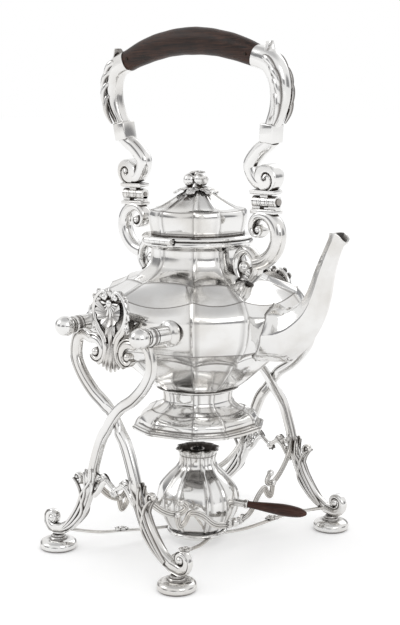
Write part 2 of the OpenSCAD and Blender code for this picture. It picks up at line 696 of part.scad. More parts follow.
// Outline of the leaf on a leg's lower end: its half width swells at each of its lobes
leaf_run = curve([[-50.5, 20.2], [-42, 27.4], [-34.4, 37.2], [-28.6, 48.6], [-24.6, 58.6]], 6);
leg_leaf = [for (i = [0:len(leaf_run) - 1]) let (t = i/(len(leaf_run) - 1))
    [leaf_run[i][0], leaf_run[i][1], 0.6 + 4.4*pow(sin(mix(14, 166, t)), 0.6) + 0.7*sin(360*3*t)]];
leaf_relief = 1.2;

// Curled knob on the outer side of a leg
knob_stem = wide(curve([[-26.6, 47.4], [-30.6, 53.4], [-34, 58.4], [-38, 61]], 3), 2.2, 2.4, 2.6);
module leg_knob() rotate([90, 0, 0]) linear_extrude(frame_t - 1.4, center = true) {
    polygon(band(knob_stem));
    translate([-38, 60.6]) circle(r = 3.7, $fn = 32);
}

// One leg in the frame at -Y, its middle plane at y = 0
module leg(outer) difference() {
    union() {
        rotate([90, 0, 0]) linear_extrude(frame_t, center = true) leg_outline();
        pin_eye(false);
        for (e = [[-toe_eye[0], toe_eye[1]], top_eye])
            translate([e[0], 0, e[1]]) rotate([90, 0, 0])
                cylinder(r = 3, h = frame_t + 2.4, center = true, $fn = 32);
        translate([0, 1 - frame_t/2, 0]) rotate([90, 0, 0])
            linear_extrude(1 + leaf_relief) polygon(band(leg_leaf));
        leg_knob();
    }
    translate([0, past/2, 0]) pin_eye(true);
    lap_notch(outer ? frame_t/2 + 0.02 : 0);
}

module leg_front_near() color(SILVER) translate([0, -frame_y, 0]) leg(true);
module leg_back_near() color(SILVER) translate([0, -frame_y, 0]) mirror([1, 0, 0]) leg(false);
module leg_front_far() color(SILVER) mirror([0, 1, 0]) leg_front_near();
module leg_back_far() color(SILVER) mirror([0, 1, 0]) leg_back_near();

// Shell cartouche

// Right half of the cartouche's flat outline, cut from a plate
module cartouche_half() {
    polygon(band(scroll([7.4, 191.6], 2.4, 14.2, 300, -62, 0.2, 2.2, 24)));
    polygon(band(wide(curve([[14.9, 181], [12.6, 174.4], [7.6, 168.6], [5.4, 161], [7.6, 153.4],
        [13, 149.4]], 4), 2.2, 2.4, 1.4)));
    translate([7.4, 191.6]) circle(r = 1.5, $fn = 32);
    for (k = [0:2]) translate([2 + 3.2*k, 148.6 + 1.9*k]) rotate(-20 + 26*k)
        polygon(band(wide(curve([[0, 5], [0.4, 0], [0, -4.6 + k]], 3), 1.4, 1.9, 0.8)));
    for (k = [0:2]) translate([1.4 + 2.6*k, 200.4 - 0.9*k]) rotate(-30*k)
        polygon(band(wide([[0, -4], [0, 0], [0, 3.4]], 1.2, 1.5, 0.5)));
}

shell_hinge = [0, 188];
shell_lobes = 9;
lobe_pitch = 19.5;

// Angle and length of lobe k of the shell, which fans out below its hinge
function lobe_angle(k) = -90 + lobe_pitch*(k - (shell_lobes - 1)/2);
function lobe_reach(k) = 11.6 + 3.2*sin(180*k/(shell_lobes - 1));

module shell_fan() polygon(concat([shell_hinge], [for (k = [0:shell_lobes - 1]) for (t = [-3:2])
    let (a = lobe_angle(k) + lobe_pitch*t/6) shell_hinge + lobe_reach(k)*(0.84 + 0.16*cos(30*t))
        *[cos(a), sin(a)]]));

// The raised rib of lobe k
module shell_rib(k) {
    a = lobe_angle(k);
    r = lobe_reach(k) - 1;
    polygon([for (q = [[2.2, -5], [r - 1, -6], [r - 0.2, -3.4], [r, 0], [r - 0.2, 3.4], [r - 1, 6],
        [2.2, 5]]) shell_hinge + q[0]*[cos(a + q[1]), sin(a + q[1])]]);
}

plate_depth = 3;
relief = 1.6;

// The cartouche fits between the tops of both legs
module cartouche() {
    rotate([90, 0, 0]) linear_extrude(plate_depth + relief) difference() {
        for (s = [0, 1]) mirror([s, 0, 0]) cartouche_half();
        both_legs();
    }
    rotate([90, 0, 0]) linear_extrude(plate_depth - 1) difference() {
        union() {
            shell_fan();
            for (s = [-1, 1]) translate([s*6.4, 186]) circle(r = 10.6, $fn = 48);
            polygon([[-8, 180], [8, 180], [5, 150], [0, 146], [-5, 150]]);
        }
        both_legs();
    }
    rotate([90, 0, 0]) linear_extrude(plate_depth + 0.2) {
        for (k = [0:shell_lobes - 1]) shell_rib(k);
        translate(shell_hinge) circle(r = 3, $fn = 32);
    }
}

module cartouche_near() color(SILVER) translate([0, -frame_y + plate_depth - 2, 0]) cartouche();
module cartouche_far() color(SILVER) mirror([0, 1, 0]) cartouche_near();

// Foliate bridge between the lower legs

bridge_way = wide(curve([[-1, 57.2], [4.4, 60.2], [8.6, 62.4], [13, 60], [18, 53.4], [23, 48.6],
    [28, 45.4]], 3), 2, 2.1, 2.3);
bridge_leaf = wide(curve([[9.2, 61.4], [14.6, 64.2], [20, 64.2], [24.6, 61.6]], 3), 1.2, 1.9, 1.4);

module leg_bridge() rotate([90, 0, 0]) linear_extrude(4, center = true)
    difference() {
        union() {
            for (s = [0, 1]) mirror([s, 0, 0]) {
                polygon(band(bridge_way));
                polygon(band(bridge_leaf));
            }
            translate([0, 57.4]) circle(r = 3.4, $fn = 32);
        }
        both_legs();
        for (s = [-1, 1]) translate([s*(28 + 6), 46]) square(14, center = true);
    }

module leg_bridge_near() color(SILVER) translate([0, -frame_y + 1, 0]) leg_bridge();
module leg_bridge_far() color(SILVER) mirror([0, 1, 0]) leg_bridge_near();

// Feet

module foot_pad() {
    rotate_extrude($fn = 72) polygon(concat(
        [[0, 0], [pad_r - 1.4, 0]],
        [for (a = [-70:20:90]) [pad_r - 3 + 3*cos(a), pad_h/2 - 0.6 + 3.6*sin(a)]],
        [[5.4, pad_h - 1.6], [4.4, pad_h - 0.6], [4.4, pad_h + pad_neck], [0, pad_h + pad_neck]]));
}

module foot_pad_front_near() color(SILVER) translate([foot_x, -frame_y, 0]) foot_pad();
module foot_pad_back_near() color(SILVER) translate([-foot_x, -frame_y, 0]) foot_pad();
module foot_pad_front_far() color(SILVER) translate([foot_x, frame_y, 0]) foot_pad();
module foot_pad_back_far() color(SILVER) translate([-foot_x, frame_y, 0]) foot_pad();

// Swags along the long sides and stretchers under the burner

swag_r = 2.2;

// The swag at +X: a C from each leg, and between them a double S that dips in the middle
swag_c = curve([[24.8, frame_in - 0.6, 66], [25.4, 79, 55], [27.4, 67, 44], [29.8, 54, 38.6],
    [31.4, 45.6, 41.8], [30.8, 49.4, 46.6]], 3);
swag_half = curve([[38, 0, 21.4], [37.4, 11, 21.6], [36, 21.4, 24.8], [33.8, 32, 33.6], [31.8, 41.6, 37],
    [31, 46.8, 31.2], [30.4, 51.6, 29.4], [30.2, 54, 37.4]], 3);
swag_s = concat([for (p = backwards(swag_half)) [p[0], -p[1], p[2]]],
    [for (i = [1:len(swag_half) - 1]) swag_half[i]]);

module swag_bar(way) skin(swept([for (p = way) [p[0], p[1], p[2], swag_r, 3]], [0.985, 0.17, 0], 6));

module swag() {
    swag_bar(swag_s);
    for (s = [0, 1]) mirror([0, s, 0]) swag_bar(swag_c);
    translate([38, 0, 21.4]) sphere(r = 4.2, $fn = 40);
}
module swag_front() color(SILVER) swag();
module swag_back() color(SILVER) mirror([1, 0, 0]) swag();

rod_r = 1.6;
seat_z = 7.4;
rod_line = curve([[foot_x - 5.5, frame_in + 1.6, 16.5], [48, 78, 14.6], [38, 66, 12.6],
    [33.4, 48, 10.4], [27, 26, 7.6], [seat_r*0.93, seat_r*0.36, seat_z - 0.4]], 3);

module stretcher() skin(swept([for (p = rod_line) [p[0], p[1], p[2], rod_r, rod_r + 0.4]],
    [0, 0, 1], 8));

module stretcher_front_near() color(SILVER) mirror([0, 1, 0]) stretcher();
module stretcher_front_far() color(SILVER) stretcher();
module stretcher_back_near() color(SILVER) mirror([1, 0, 0]) mirror([0, 1, 0]) stretcher();
module stretcher_back_far() color(SILVER) mirror([1, 0, 0]) stretcher();

module burner_seat() color(SILVER)
    translate([0, 0, seat_z]) rotate_extrude($fn = 72) translate([seat_r, 0]) circle(r = 2.2, $fn = 24);

// Burner

base_z = 6.6;
burner_share = [
    [[0.50, 0], [0.60, 0.035], [0.80, 0.11], [0.955, 0.25], [1, 0.40], [0.93, 0.54], [0.72, 0.67],
        [0.50, 0.78], [0.44, 0.86], [0.45, 0.93]]];
burner_top = burner_h - base_z;
burner_outer = concat(
    [for (p = creased([[for (p = burner_share[0]) [p[0]*burner_r, p[1]*burner_top]]], 2)) p],
    [[mouth_r - 0.6, burner_top - 1.4], [mouth_r, burner_top]]);
burner_inner = backwards(inset(burner_outer, wall));

module burner_body() color(SILVER)
    translate([0, 0, base_z])
        rotate([0, 0, 18])
            skin(panelled(concat(burner_outer, [for (p = burner_inner) if (p[1] > wall) p],
                [[0.5*burner_r - wall, wall]])));

wick_r = 4;

// Cup that closes the burner's mouth and holds the wick's tube
module wick_holder() color(DARK_SILVER)
    difference() {
        translate([0, 0, burner_h - 12]) rotate_extrude($fn = 48)
            polygon([[0, 0], [11.7, 0], [11.7, 1.6], [wick_r + 1.4, 1.6], [wick_r + 1.4, 11],
                [0, 11]]);
        translate([0, 0, burner_h - 12 - past]) cylinder(r = wick_r + 0.1, h = 14, $fn = 48);
    }

module wick() color(COTTON)
    translate([0, 0, base_z + wall + 1]) cylinder(r = wick_r, h = burner_h - base_z - wall - 1.6, $fn = 48);

stick_z = 32;
ferrule_l = 9;

// Place on the burner's side where its handle starts, along the handle's own direction
module along_stick() rotate([0, 0, stick_turn]) translate([burner_r, 0, stick_z]) rotate([0, 93, 0])
    children();

module burner_ferrule() color(SILVER)
    along_stick() {
        translate([0, 0, -3.2]) cylinder(r = 2.8, h = ferrule_l + 2.2, $fn = 48);
        translate([0, 0, ferrule_l - 2.6]) cylinder(r = 3.4, h = 2.6, $fn = 48);
    }

// Turned wooden handle, thickest past its middle
module burner_stick() color(WOOD)
    along_stick() translate([0, 0, ferrule_l]) rotate_extrude($fn = 48)
        polygon(concat([[0, 0]], curve([[2.6, 0], [2.8, 0.1*stick_l], [3.9, 0.38*stick_l],
            [4.6, 0.64*stick_l], [3.6, 0.88*stick_l], [1.5, stick_l - 0.6]], 4), [[0, stick_l]]));

// The origin is under the middle of the whole object, so the kettle's axis lies off it in X
bail_out = max([for (r = concat(arm_rings, leaf_on_arm)) for (p = r) p[0]]);
spout_out = max([for (r = spout_rings) for (p = r) p[0]]);
axis_x = (bail_out - spout_out)/2;

module placed() translate([axis_x, 0, 0]) children();

placed() kettle_body();
placed() kettle_foot();
placed() waist_ring();
placed() neck_rim();
placed() spout();
placed() lid_hinge_barrels();
placed() lid_hinge_pin();
placed() lid_dome();
placed() lid_flange();
placed() finial_leaves();
placed() finial_fruits();
placed() finial_nut();
placed() bail_grip();
placed() grip_rivets();
placed() bail_hinge_pins();
placed() bail_arm_front();
placed() bail_arm_back();
placed() bracket_front();
placed() bracket_back();
placed() swag_front();
placed() swag_back();
placed() cartouche_near();
placed() cartouche_far();
placed() leg_bridge_near();
placed() leg_bridge_far();
placed() lug_front_near();
placed() lug_front_far();
placed() lug_back_near();
placed() lug_back_far();
placed() pin_front_near();
placed() pin_front_far();
placed() pin_back_near();
placed() pin_back_far();
placed() leg_front_near();
placed() leg_front_far();
placed() leg_back_near();
placed() leg_back_far();
placed() foot_pad_front_near();
placed() foot_pad_front_far();
placed() foot_pad_back_near();
placed() foot_pad_back_far();
placed() stretcher_front_near();
placed() stretcher_front_far();
placed() stretcher_back_near();
placed() stretcher_back_far();
placed() burner_seat();
placed() burner_body();
placed() wick_holder();
placed() wick();
placed() burner_ferrule();
placed() burner_stick();
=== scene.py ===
"""Looks of the spirit kettle on its stand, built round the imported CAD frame.

Sizes are in millimetres about the kettle's axis until a mesh is made.
The scene is in metres, +Z up.
"""
from __future__ import annotations

import logging
import math
from dataclasses import dataclass, field
from enum import Enum
from typing import Any, Callable, Iterable, Sequence

import bmesh
import bpy
from mathutils import Matrix, Vector

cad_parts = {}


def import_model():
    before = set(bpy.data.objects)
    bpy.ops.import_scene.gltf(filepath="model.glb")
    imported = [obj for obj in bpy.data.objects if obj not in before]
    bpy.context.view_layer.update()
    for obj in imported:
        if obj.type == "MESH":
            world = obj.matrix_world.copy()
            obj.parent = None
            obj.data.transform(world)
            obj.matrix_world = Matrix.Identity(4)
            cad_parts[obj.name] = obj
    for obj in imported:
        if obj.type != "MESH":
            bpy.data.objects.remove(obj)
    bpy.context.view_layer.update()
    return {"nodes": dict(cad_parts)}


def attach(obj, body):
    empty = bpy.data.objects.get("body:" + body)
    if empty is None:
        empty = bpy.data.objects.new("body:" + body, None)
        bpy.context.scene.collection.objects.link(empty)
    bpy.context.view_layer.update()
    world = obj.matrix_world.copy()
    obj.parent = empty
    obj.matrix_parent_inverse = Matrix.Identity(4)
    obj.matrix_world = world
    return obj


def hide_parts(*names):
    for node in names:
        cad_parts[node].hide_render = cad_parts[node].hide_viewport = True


LOG = logging.getLogger("kettle")
MM = 0.001
AXIS_X = -23.3087
SHARP = math.radians(38)
LEAST_R = 0.01  # radius that stands for the axis in a turned profile
Point = tuple[float, ...]
Ring = list[Vector]


class Body(Enum):
    """The moving bodies of the CAD model."""

    STAND = "stand"
    KETTLE = "kettle"
    LID = "lid"
    BAIL = "bail"
    BURNER = "burner"


# Arithmetic on sockets


class Value:
    """A node's output that takes part in plain arithmetic."""

    def __init__(self, tree: Tree, socket: Any) -> None:
        """Wraps one socket of a tree."""
        self.tree = tree
        self.socket = socket

    def __add__(self, other: Any) -> Value:
        """self + other."""
        return self.tree.math("ADD", self, other)

    def __radd__(self, other: Any) -> Value:
        """other + self."""
        return self.tree.math("ADD", other, self)

    def __sub__(self, other: Any) -> Value:
        """self - other."""
        return self.tree.math("SUBTRACT", self, other)

    def __rsub__(self, other: Any) -> Value:
        """other - self."""
        return self.tree.math("SUBTRACT", other, self)

    def __mul__(self, other: Any) -> Value:
        """self * other."""
        return self.tree.math("MULTIPLY", self, other)

    def __rmul__(self, other: Any) -> Value:
        """other * self."""
        return self.tree.math("MULTIPLY", other, self)

    def __truediv__(self, other: Any) -> Value:
        """self / other."""
        return self.tree.math("DIVIDE", self, other)

    def __pow__(self, other: Any) -> Value:
        """self to the power of other."""
        return self.tree.math("POWER", self, other)

    def __lt__(self, other: Any) -> Value:
        """1 where self is less than other."""
        return self.tree.math("LESS_THAN", self, other)

    def least(self, other: Any) -> Value:
        """The smaller of both."""
        return self.tree.math("MINIMUM", self, other)

    def most(self, other: Any) -> Value:
        """The larger of both."""
        return self.tree.math("MAXIMUM", self, other)

    def held(self) -> Value:
        """self kept between 0 and 1."""
        return self.most(0.0).least(1.0)


class Tree:
    """A node tree with short ways to make and join its nodes."""

    def __init__(self, nodes_of: Any) -> None:
        """Starts with an empty tree."""
        self.tree = nodes_of
        self.tree.nodes.clear()

    def node(self, kind: str, settings: dict[str, Any] | None = None,
             inputs: dict[Any, Any] | None = None) -> Any:
        """Makes one node.

        Args:
            kind: the node's type.
            settings: its properties, set before its inputs; "stops" fills a colour ramp.
            inputs: a value or a link for each input, by name or number.

        Returns:
            The node.
        """
        made = self.tree.nodes.new(kind)
        for key, value in (settings or {}).items():
            if key == "stops":
                ramp = made.color_ramp
                while len(ramp.elements) < len(value):
                    ramp.elements.new(0.5)
                for stop, (place, colour) in zip(ramp.elements, value):
                    stop.position, stop.color = place, (*colour, 1.0)
            else:
                setattr(made, key, value)
        for key, value in (inputs or {}).items():
            self.feed(made.inputs[key], value)
        return made

    def feed(self, socket: Any, value: Any) -> None:
        """Links a Value or an output to a socket, or sets its plain value."""
        if isinstance(value, Value):
            self.tree.links.new(value.socket, socket)
        elif isinstance(value, bpy.types.NodeSocket):
            self.tree.links.new(value, socket)
        else:
            socket.default_value = value

    def out(self, made: Any, key: Any = 0) -> Value:
        """One output of a node as a Value."""
        return Value(self, made.outputs[key])

    def math(self, operation: str, *terms: Any) -> Value:
        """One Math node over the given terms."""
        return self.out(self.node("ShaderNodeMath", {"operation": operation},
                                  dict(enumerate(terms))))

    def smooth(self, value: Any, low: float, high: float) -> Value:
        """0 below low, 1 above high, and a smooth rise between."""
        return self.out(self.node("ShaderNodeMapRange", {"interpolation_type": "SMOOTHSTEP"},
                                  {"Value": value, "From Min": low, "From Max": high}))

    def blend(self, share: Any, first: Any, second: Any) -> Any:
        """A colour between first and second."""
        made = self.node("ShaderNodeMix", {"data_type": "RGBA"}, {0: share, 6: first, 7: second})
        return made.outputs[2]

    def noise(self, place: Any, scale: float, detail: float, **more: float) -> Value:
        """Noise of this scale and detail at a place."""
        inputs = {"Vector": place, "Scale": scale, "Detail": detail, **more}
        return self.out(self.node("ShaderNodeTexNoise", None, inputs))

    def surface(self, strength: float, distance: float, height: Value,
                inputs: dict[str, Any]) -> None:
        """Ends a material in a bump, a Principled shader with these inputs, and the output."""
        bump = self.node("ShaderNodeBump", None,
                         {"Strength": strength, "Distance": distance, "Height": height})
        shader = self.node("ShaderNodeBsdfPrincipled", None, {**inputs, "Normal": bump.outputs[0]})
        self.node("ShaderNodeOutputMaterial", None, {"Surface": shader.outputs[0]})


def fresh(name: str) -> tuple[bpy.types.Material, Tree]:
    """A new material and its empty tree."""
    made = bpy.data.materials.new(name)
    made.use_nodes = True
    return made, Tree(made.node_tree)


def placed(name: str, data: Any) -> bpy.types.Object:
    """A new object in the scene."""
    made = bpy.data.objects.new(name, data)
    bpy.context.scene.collection.objects.link(made)
    return made


def rgb(red: float, green: float, blue: float) -> tuple[float, float, float, float]:
    """A full colour from its three parts."""
    return (red, green, blue, 1.0)


# Finishes


@dataclass(frozen=True)
class Silver:
    """Polished silver: clouds, fine scratches, a hammered swell, and painted shade in recesses,
    grooves and insides, which also stands for patina.
    """

    name: str = "polished_silver"
    bright: tuple[float, float, float] = (0.80, 0.795, 0.785)
    warm: tuple[float, float, float] = (0.56, 0.53, 0.49)
    # Colour of the painted shade in recesses, grooves and insides, which also stands for patina.
    shade_and_tarnish: tuple[float, float, float] = (0.055, 0.040, 0.030)
    # reach, start and full shape the ambient-occlusion mask that paints that shade.
    reach: float = 0.0040
    start: float = 0.24
    full: float = 0.62
    gloss: float = 0.09
    clouds: float = 0.5
    swell: float = 0.00022

    def material(self) -> bpy.types.Material:
        """Builds the material.

        Returns:
            The material, for any piece or CAD node.
        """
        made, t = fresh(self.name)
        place = t.node("ShaderNodeTexCoord").outputs["Object"]
        cloud = t.smooth(t.noise(place, 26.0, 5.0), 0.42, 0.68)
        mottle = t.noise(place, 420.0, 3.0)
        turned = t.node("ShaderNodeMapping", {"vector_type": "POINT"},
                        {"Vector": place, "Rotation": (0.5, 0.3, 0.8),
                         "Scale": (90.0, 90.0, 2600.0)})
        scratch = t.smooth(t.noise(turned.outputs[0], 1.0, 2.0), 0.62, 0.74)
        open_share = t.out(t.node("ShaderNodeAmbientOcclusion", {"samples": 8},
                                  {"Distance": self.reach}), "AO")
        attribute = lambda name: t.out(
            t.node("ShaderNodeAttribute", {"attribute_name": name}), "Fac")
        # Painted shade: ambient occlusion darkens recesses and gaps between parts, standing also
        # for patina.
        recess_shade = t.smooth(1.0 - open_share, self.start, self.full) * (0.7 + 0.6 * mottle)
        # Marks on the mesh add painted shade along grooves, creases and undersides, and inside
        # hollows.
        dark = recess_shade.most(attribute("line") * 0.9).most(attribute("soot")).held()
        base = t.blend(cloud * self.clouds, rgb(*self.bright), rgb(*self.warm))
        shaded_and_tarnished = t.blend(dark, base, rgb(*self.shade_and_tarnish))
        rough = self.gloss + 0.07 * cloud + 0.10 * scratch + 0.30 * dark
        height = t.noise(place, 46.0, 1.0) + 0.03 * scratch
        t.surface(0.55, self.swell, height, {
            "Base Color": shaded_and_tarnished, "Roughness": rough, "Metallic": 1.0 - 0.5 * dark})
        return made


PLAIN = Silver()
# Chased work gets more painted shade in its recesses.
CHASED = Silver(name="chased_silver", reach=0.0030, start=0.16, full=0.55)


@dataclass(frozen=True)
class Wood:
    """Dark handle wood with a fine grain along one direction, oiled and worn."""

    name: str
    turn: float
    dark: tuple[float, float, float] = (0.0055, 0.0035, 0.003)
    light: tuple[float, float, float] = (0.060, 0.027, 0.018)
    gloss: float = 0.38

    def material(self) -> bpy.types.Material:
        """Builds the material; turn is the grain's direction about Z in degrees."""
        made, t = fresh(self.name)
        place = t.node("ShaderNodeTexCoord").outputs["Object"]
        along = t.node("ShaderNodeMapping", {"vector_type": "TEXTURE"},
                       {"Vector": place, "Rotation": (0.0, 0.0, math.radians(self.turn)),
                        "Scale": (0.030, 0.0016, 0.0016)})
        fibre = t.noise(along.outputs[0], 1.0, 5.0, Roughness=0.65, Distortion=0.5)
        broad = t.noise(place, 60.0, 3.0)
        pore = t.smooth(fibre, 0.56, 0.66)
        tone = (t.smooth(fibre, 0.32, 0.70) * 0.75 + t.smooth(broad, 0.35, 0.75) * 0.45).held()
        base = t.blend(tone, rgb(*self.dark), rgb(*self.light))
        worn = t.blend(pore * 0.30, base, rgb(0.085, 0.058, 0.048))
        t.surface(0.5, 0.00025, fibre + 0.3 * broad, {
            "Base Color": worn, "Roughness": self.gloss + 0.25 * pore + 0.12 * broad,
            "Specular IOR Level": 0.28})
        return made


@dataclass(frozen=True)
class Cotton:
    """Twisted cotton of the wick, charred at its top."""

    name: str = "wick_cotton"
    char_z: float = 0.0700

    def material(self) -> bpy.types.Material:
        """Builds the material."""
        made, t = fresh(self.name)
        place = t.node("ShaderNodeTexCoord").outputs["Object"]
        fuzz = t.noise(place, 2600.0, 4.0)
        height = t.out(t.node("ShaderNodeSeparateXYZ", None, {0: place}), 2)
        char = t.smooth(height + 0.002 * fuzz, self.char_z - 0.002, self.char_z + 0.0015)
        base = t.blend(fuzz, rgb(0.56, 0.50, 0.39), rgb(0.80, 0.76, 0.66))
        burnt = t.blend(char, base, rgb(0.02, 0.017, 0.015))
        t.surface(0.8, 0.0003, fuzz, {"Base Color": burnt, "Roughness": 0.9})
        return made


# Curves in millimetres


def mix(a: float, b: float, t: float) -> float:
    """The value a share t of the way from a to b."""
    return a + (b - a) * t


def held(points: Sequence[Any], i: int) -> Any:
    """Point i of a list, held at its ends."""
    return points[max(0, min(len(points) - 1, i))]


def curve(points: Sequence[Point], steps: int) -> list[Point]:
    """A smooth curve through points of any dimension.

    Args:
        points: what the curve passes through.
        steps: how many steps lie between neighbours.

    Returns:
        The points of the curve.
    """
    made = []
    for i in range(len(points) - 1):
        a, b, c, d = held(points, i - 1), points[i], points[i + 1], held(points, i + 2)
        for s in range(steps):
            t = s / steps
            made.append(tuple(
                0.5 * (2 * q + (r - p) * t + (2 * p - 5 * q + 4 * r - e) * t * t
                       + (3 * q - p - 3 * r + e) * t * t * t) for p, q, r, e in zip(a, b, c, d)))
    return made + [tuple(points[-1])]


def graded(points: Sequence[Point], *widths: float) -> list[Point]:
    """The points with a half width that runs smoothly through the given widths."""
    last = len(points) - 1
    grades = []
    for i in range(len(points)):
        values = list(widths)
        t = i / last
        while len(values) > 1:
            values = [mix(a, b, t) for a, b in zip(values, values[1:])]
        grades.append(values[0])
    return [(*p, w) for p, w in zip(points, grades)]


def scroll(centre: Point, r0: float, r1: float, a0: float, a1: float, share: float, limit: float,
           steps: int) -> list[Point]:
    """A spiral whose half width is a share of its radius, up to a limit.

    Args:
        centre: the eye's place in the XZ plane.
        r0: first radius.
        r1: last radius.
        a0: first angle in degrees.
        a1: last angle in degrees.
        share: half width over radius.
        limit: the largest half width.
        steps: the number of steps.

    Returns:
        Points [x, z, half width].
    """
    made = []
    for i in range(steps + 1):
        r, a = r0 * (r1 / r0) ** (i / steps), math.radians(mix(a0, a1, i / steps))
        made.append((centre[0] + r * math.cos(a), centre[1] + r * math.sin(a),
                     min(share * r, limit)))
    return made


def bell(x: float, width: float) -> float:
    """A smooth bump of the given half width, 1 at its middle."""
    return math.exp(-(x / width) ** 2)


def in_metres(point: Iterable[float]) -> Point:
    """A point of the scene, from one in millimetres about the kettle's axis."""
    x, y, z = point
    return (x + AXIS_X) * MM, y * MM, z * MM


# Meshes


class Shape:
    """Faces about the kettle's axis, gathered for one mesh, with values on its points."""

    def __init__(self) -> None:
        """Starts empty."""
        self.points: list[Vector] = []
        self.faces: list[list[int]] = []
        self.marks: dict[str, dict[int, float]] = {}

    def add(self, points: Iterable[Vector], faces: Iterable[Sequence[int]],
            **marks: Sequence[float]) -> None:
        """Adds points and faces, with values for each point by attribute name."""
        base = len(self.points)
        self.points += [Vector(p) for p in points]
        self.faces += [[base + i for i in f] for f in faces]
        for name, values in marks.items():
            self.marks.setdefault(name, {}).update({base + i: v for i, v in enumerate(values)})

    def rings(self, rings: Sequence[Ring], shut: bool = False, caps: bool = True, loop: bool = True,
              **marks: Sequence[float]) -> None:
        """Adds a skin over rings of points.

        Args:
            rings: the rings, all with as many points.
            shut: joins the last ring to the first.
            caps: closes both ends with a fan.
            loop: each ring closes on itself.
            **marks: one value for each point, ring by ring.
        """
        n, count = len(rings[0]), len(rings)
        points = [p for r in rings for p in r]
        faces = []
        for i in range(count if shut else count - 1):
            for j in range(n if loop else n - 1):
                k = (j + 1) % n
                a, b = i * n, ((i + 1) % count) * n
                faces.append([a + j, a + k, b + k, b + j])
        values = {name: list(v) for name, v in marks.items()}
        if caps and not shut and loop:
            for start in (0, (count - 1) * n):
                middle = sum((points[start + j] for j in range(n)), Vector()) / n
                for v in values.values():
                    v.append(v[start])
                points.append(middle)
                faces += [[start + j, start + (j + 1) % n, len(points) - 1] for j in range(n)]
        self.add(points, faces, **values)

    def lathe(self, profile: Sequence[Point], place: Matrix, sides: int = 64, shut: bool = False,
              **marks: Sequence[float]) -> None:
        """Adds a turned shape about local Z.

        Args:
            profile: radius and height, from axis to axis or, for a shut one, round a hollow.
            place: where it stands.
            sides: how many sides it has.
            shut: joins the profile's end to its start.
            **marks: one value for each row of the profile.
        """
        turns = [2 * math.pi * j / sides for j in range(sides)]
        rings = [[place @ Vector((max(r, LEAST_R) * math.cos(a), max(r, LEAST_R) * math.sin(a), z))
                  for a in turns] for r, z in profile]
        self.rings(rings, shut, **{name: [v for v in values for _ in turns]
                                   for name, values in marks.items()})

    def ball(self, centre: Vector, radius: float, sides: int = 32,
             scale: tuple[float, float, float] = (1, 1, 1)) -> None:
        """Adds a ball, stretched by scale."""
        half = sides // 2
        profile = [(radius * math.sin(math.pi * i / half), -radius * math.cos(math.pi * i / half))
                   for i in range(half + 1)]
        self.lathe(profile, Matrix.Translation(centre) @ Matrix.Diagonal((*scale, 1)), sides)

    def block(self, centre: Vector, size: Sequence[float], bevel: float,
              turn: Matrix | None = None) -> None:
        """Adds a box with rounded edges."""
        work = bmesh.new()
        bmesh.ops.create_cube(work, size=1.0)
        bmesh.ops.scale(work, vec=Vector(size), verts=work.verts)
        bmesh.ops.bevel(work, geom=work.edges[:], offset=bevel, segments=3, profile=0.5,
                        affect="EDGES")
        place = Matrix.Translation(centre) @ (turn or Matrix.Identity(4))
        work.verts.ensure_lookup_table()
        self.add([place @ v.co for v in work.verts],
                 [[v.index for v in f.verts] for f in work.faces])
        work.free()

    def sweep(self, way: Sequence[tuple[Vector, float, float]], side: Vector,
              section: Sequence[Point], corner_shade: Sequence[float] | None = None,
              caps: bool = True) -> None:
        """Adds a bar along a way that lies square to side.

        Args:
            way: point, half width in the plane and half thickness along side.
            side: the direction square to the way's plane.
            section: outline in shares of half width and half thickness.
            corner_shade: the painted shade of each corner of the section, all along the way.
            caps: closes both ends.
        """
        rings = []
        for i, (p, u, v) in enumerate(way):
            d = (held(way, i + 1)[0] - held(way, i - 1)[0]).normalized()
            across = side.cross(d).normalized()
            rings.append([p + across * (u * a) + side * (v * b) for a, b in section])
        marks = {"line": list(corner_shade) * len(way)} if corner_shade else {}
        self.rings(rings, caps=caps, **marks)

    def mirrored(self, normal: Vector) -> Shape:
        """A copy mirrored in the plane through the kettle's axis with this normal."""
        made = Shape()
        made.points = [p - 2 * p.dot(normal) * normal for p in self.points]
        made.faces = [list(reversed(f)) for f in self.faces]
        made.marks = {name: dict(v) for name, v in self.marks.items()}
        return made

    def moved(self, place: Matrix) -> Shape:
        """A copy put in another place."""
        made = Shape()
        made.points = [place @ p for p in self.points]
        made.faces, made.marks = self.faces, self.marks
        return made

    def mesh(self, name: str) -> bpy.types.Mesh:
        """The mesh in metres in the row frame, closed, with its faces outwards."""
        made = bpy.data.meshes.new(name)
        made.from_pydata([in_metres(p) for p in self.points], [], self.faces)
        for mark, values in self.marks.items():
            layer = made.attributes.new(mark, "FLOAT", "POINT")
            for i, value in values.items():
                layer.data[i].value = value
        work = bmesh.new()
        work.from_mesh(made)
        bmesh.ops.remove_doubles(work, verts=work.verts, dist=2e-6)
        bmesh.ops.dissolve_degenerate(work, edges=work.edges, dist=1e-6)
        bmesh.ops.recalc_face_normals(work, faces=work.faces)
        work.to_mesh(made)
        work.free()
        made.shade_smooth()
        made.set_sharp_from_angle(angle=SHARP)
        return made


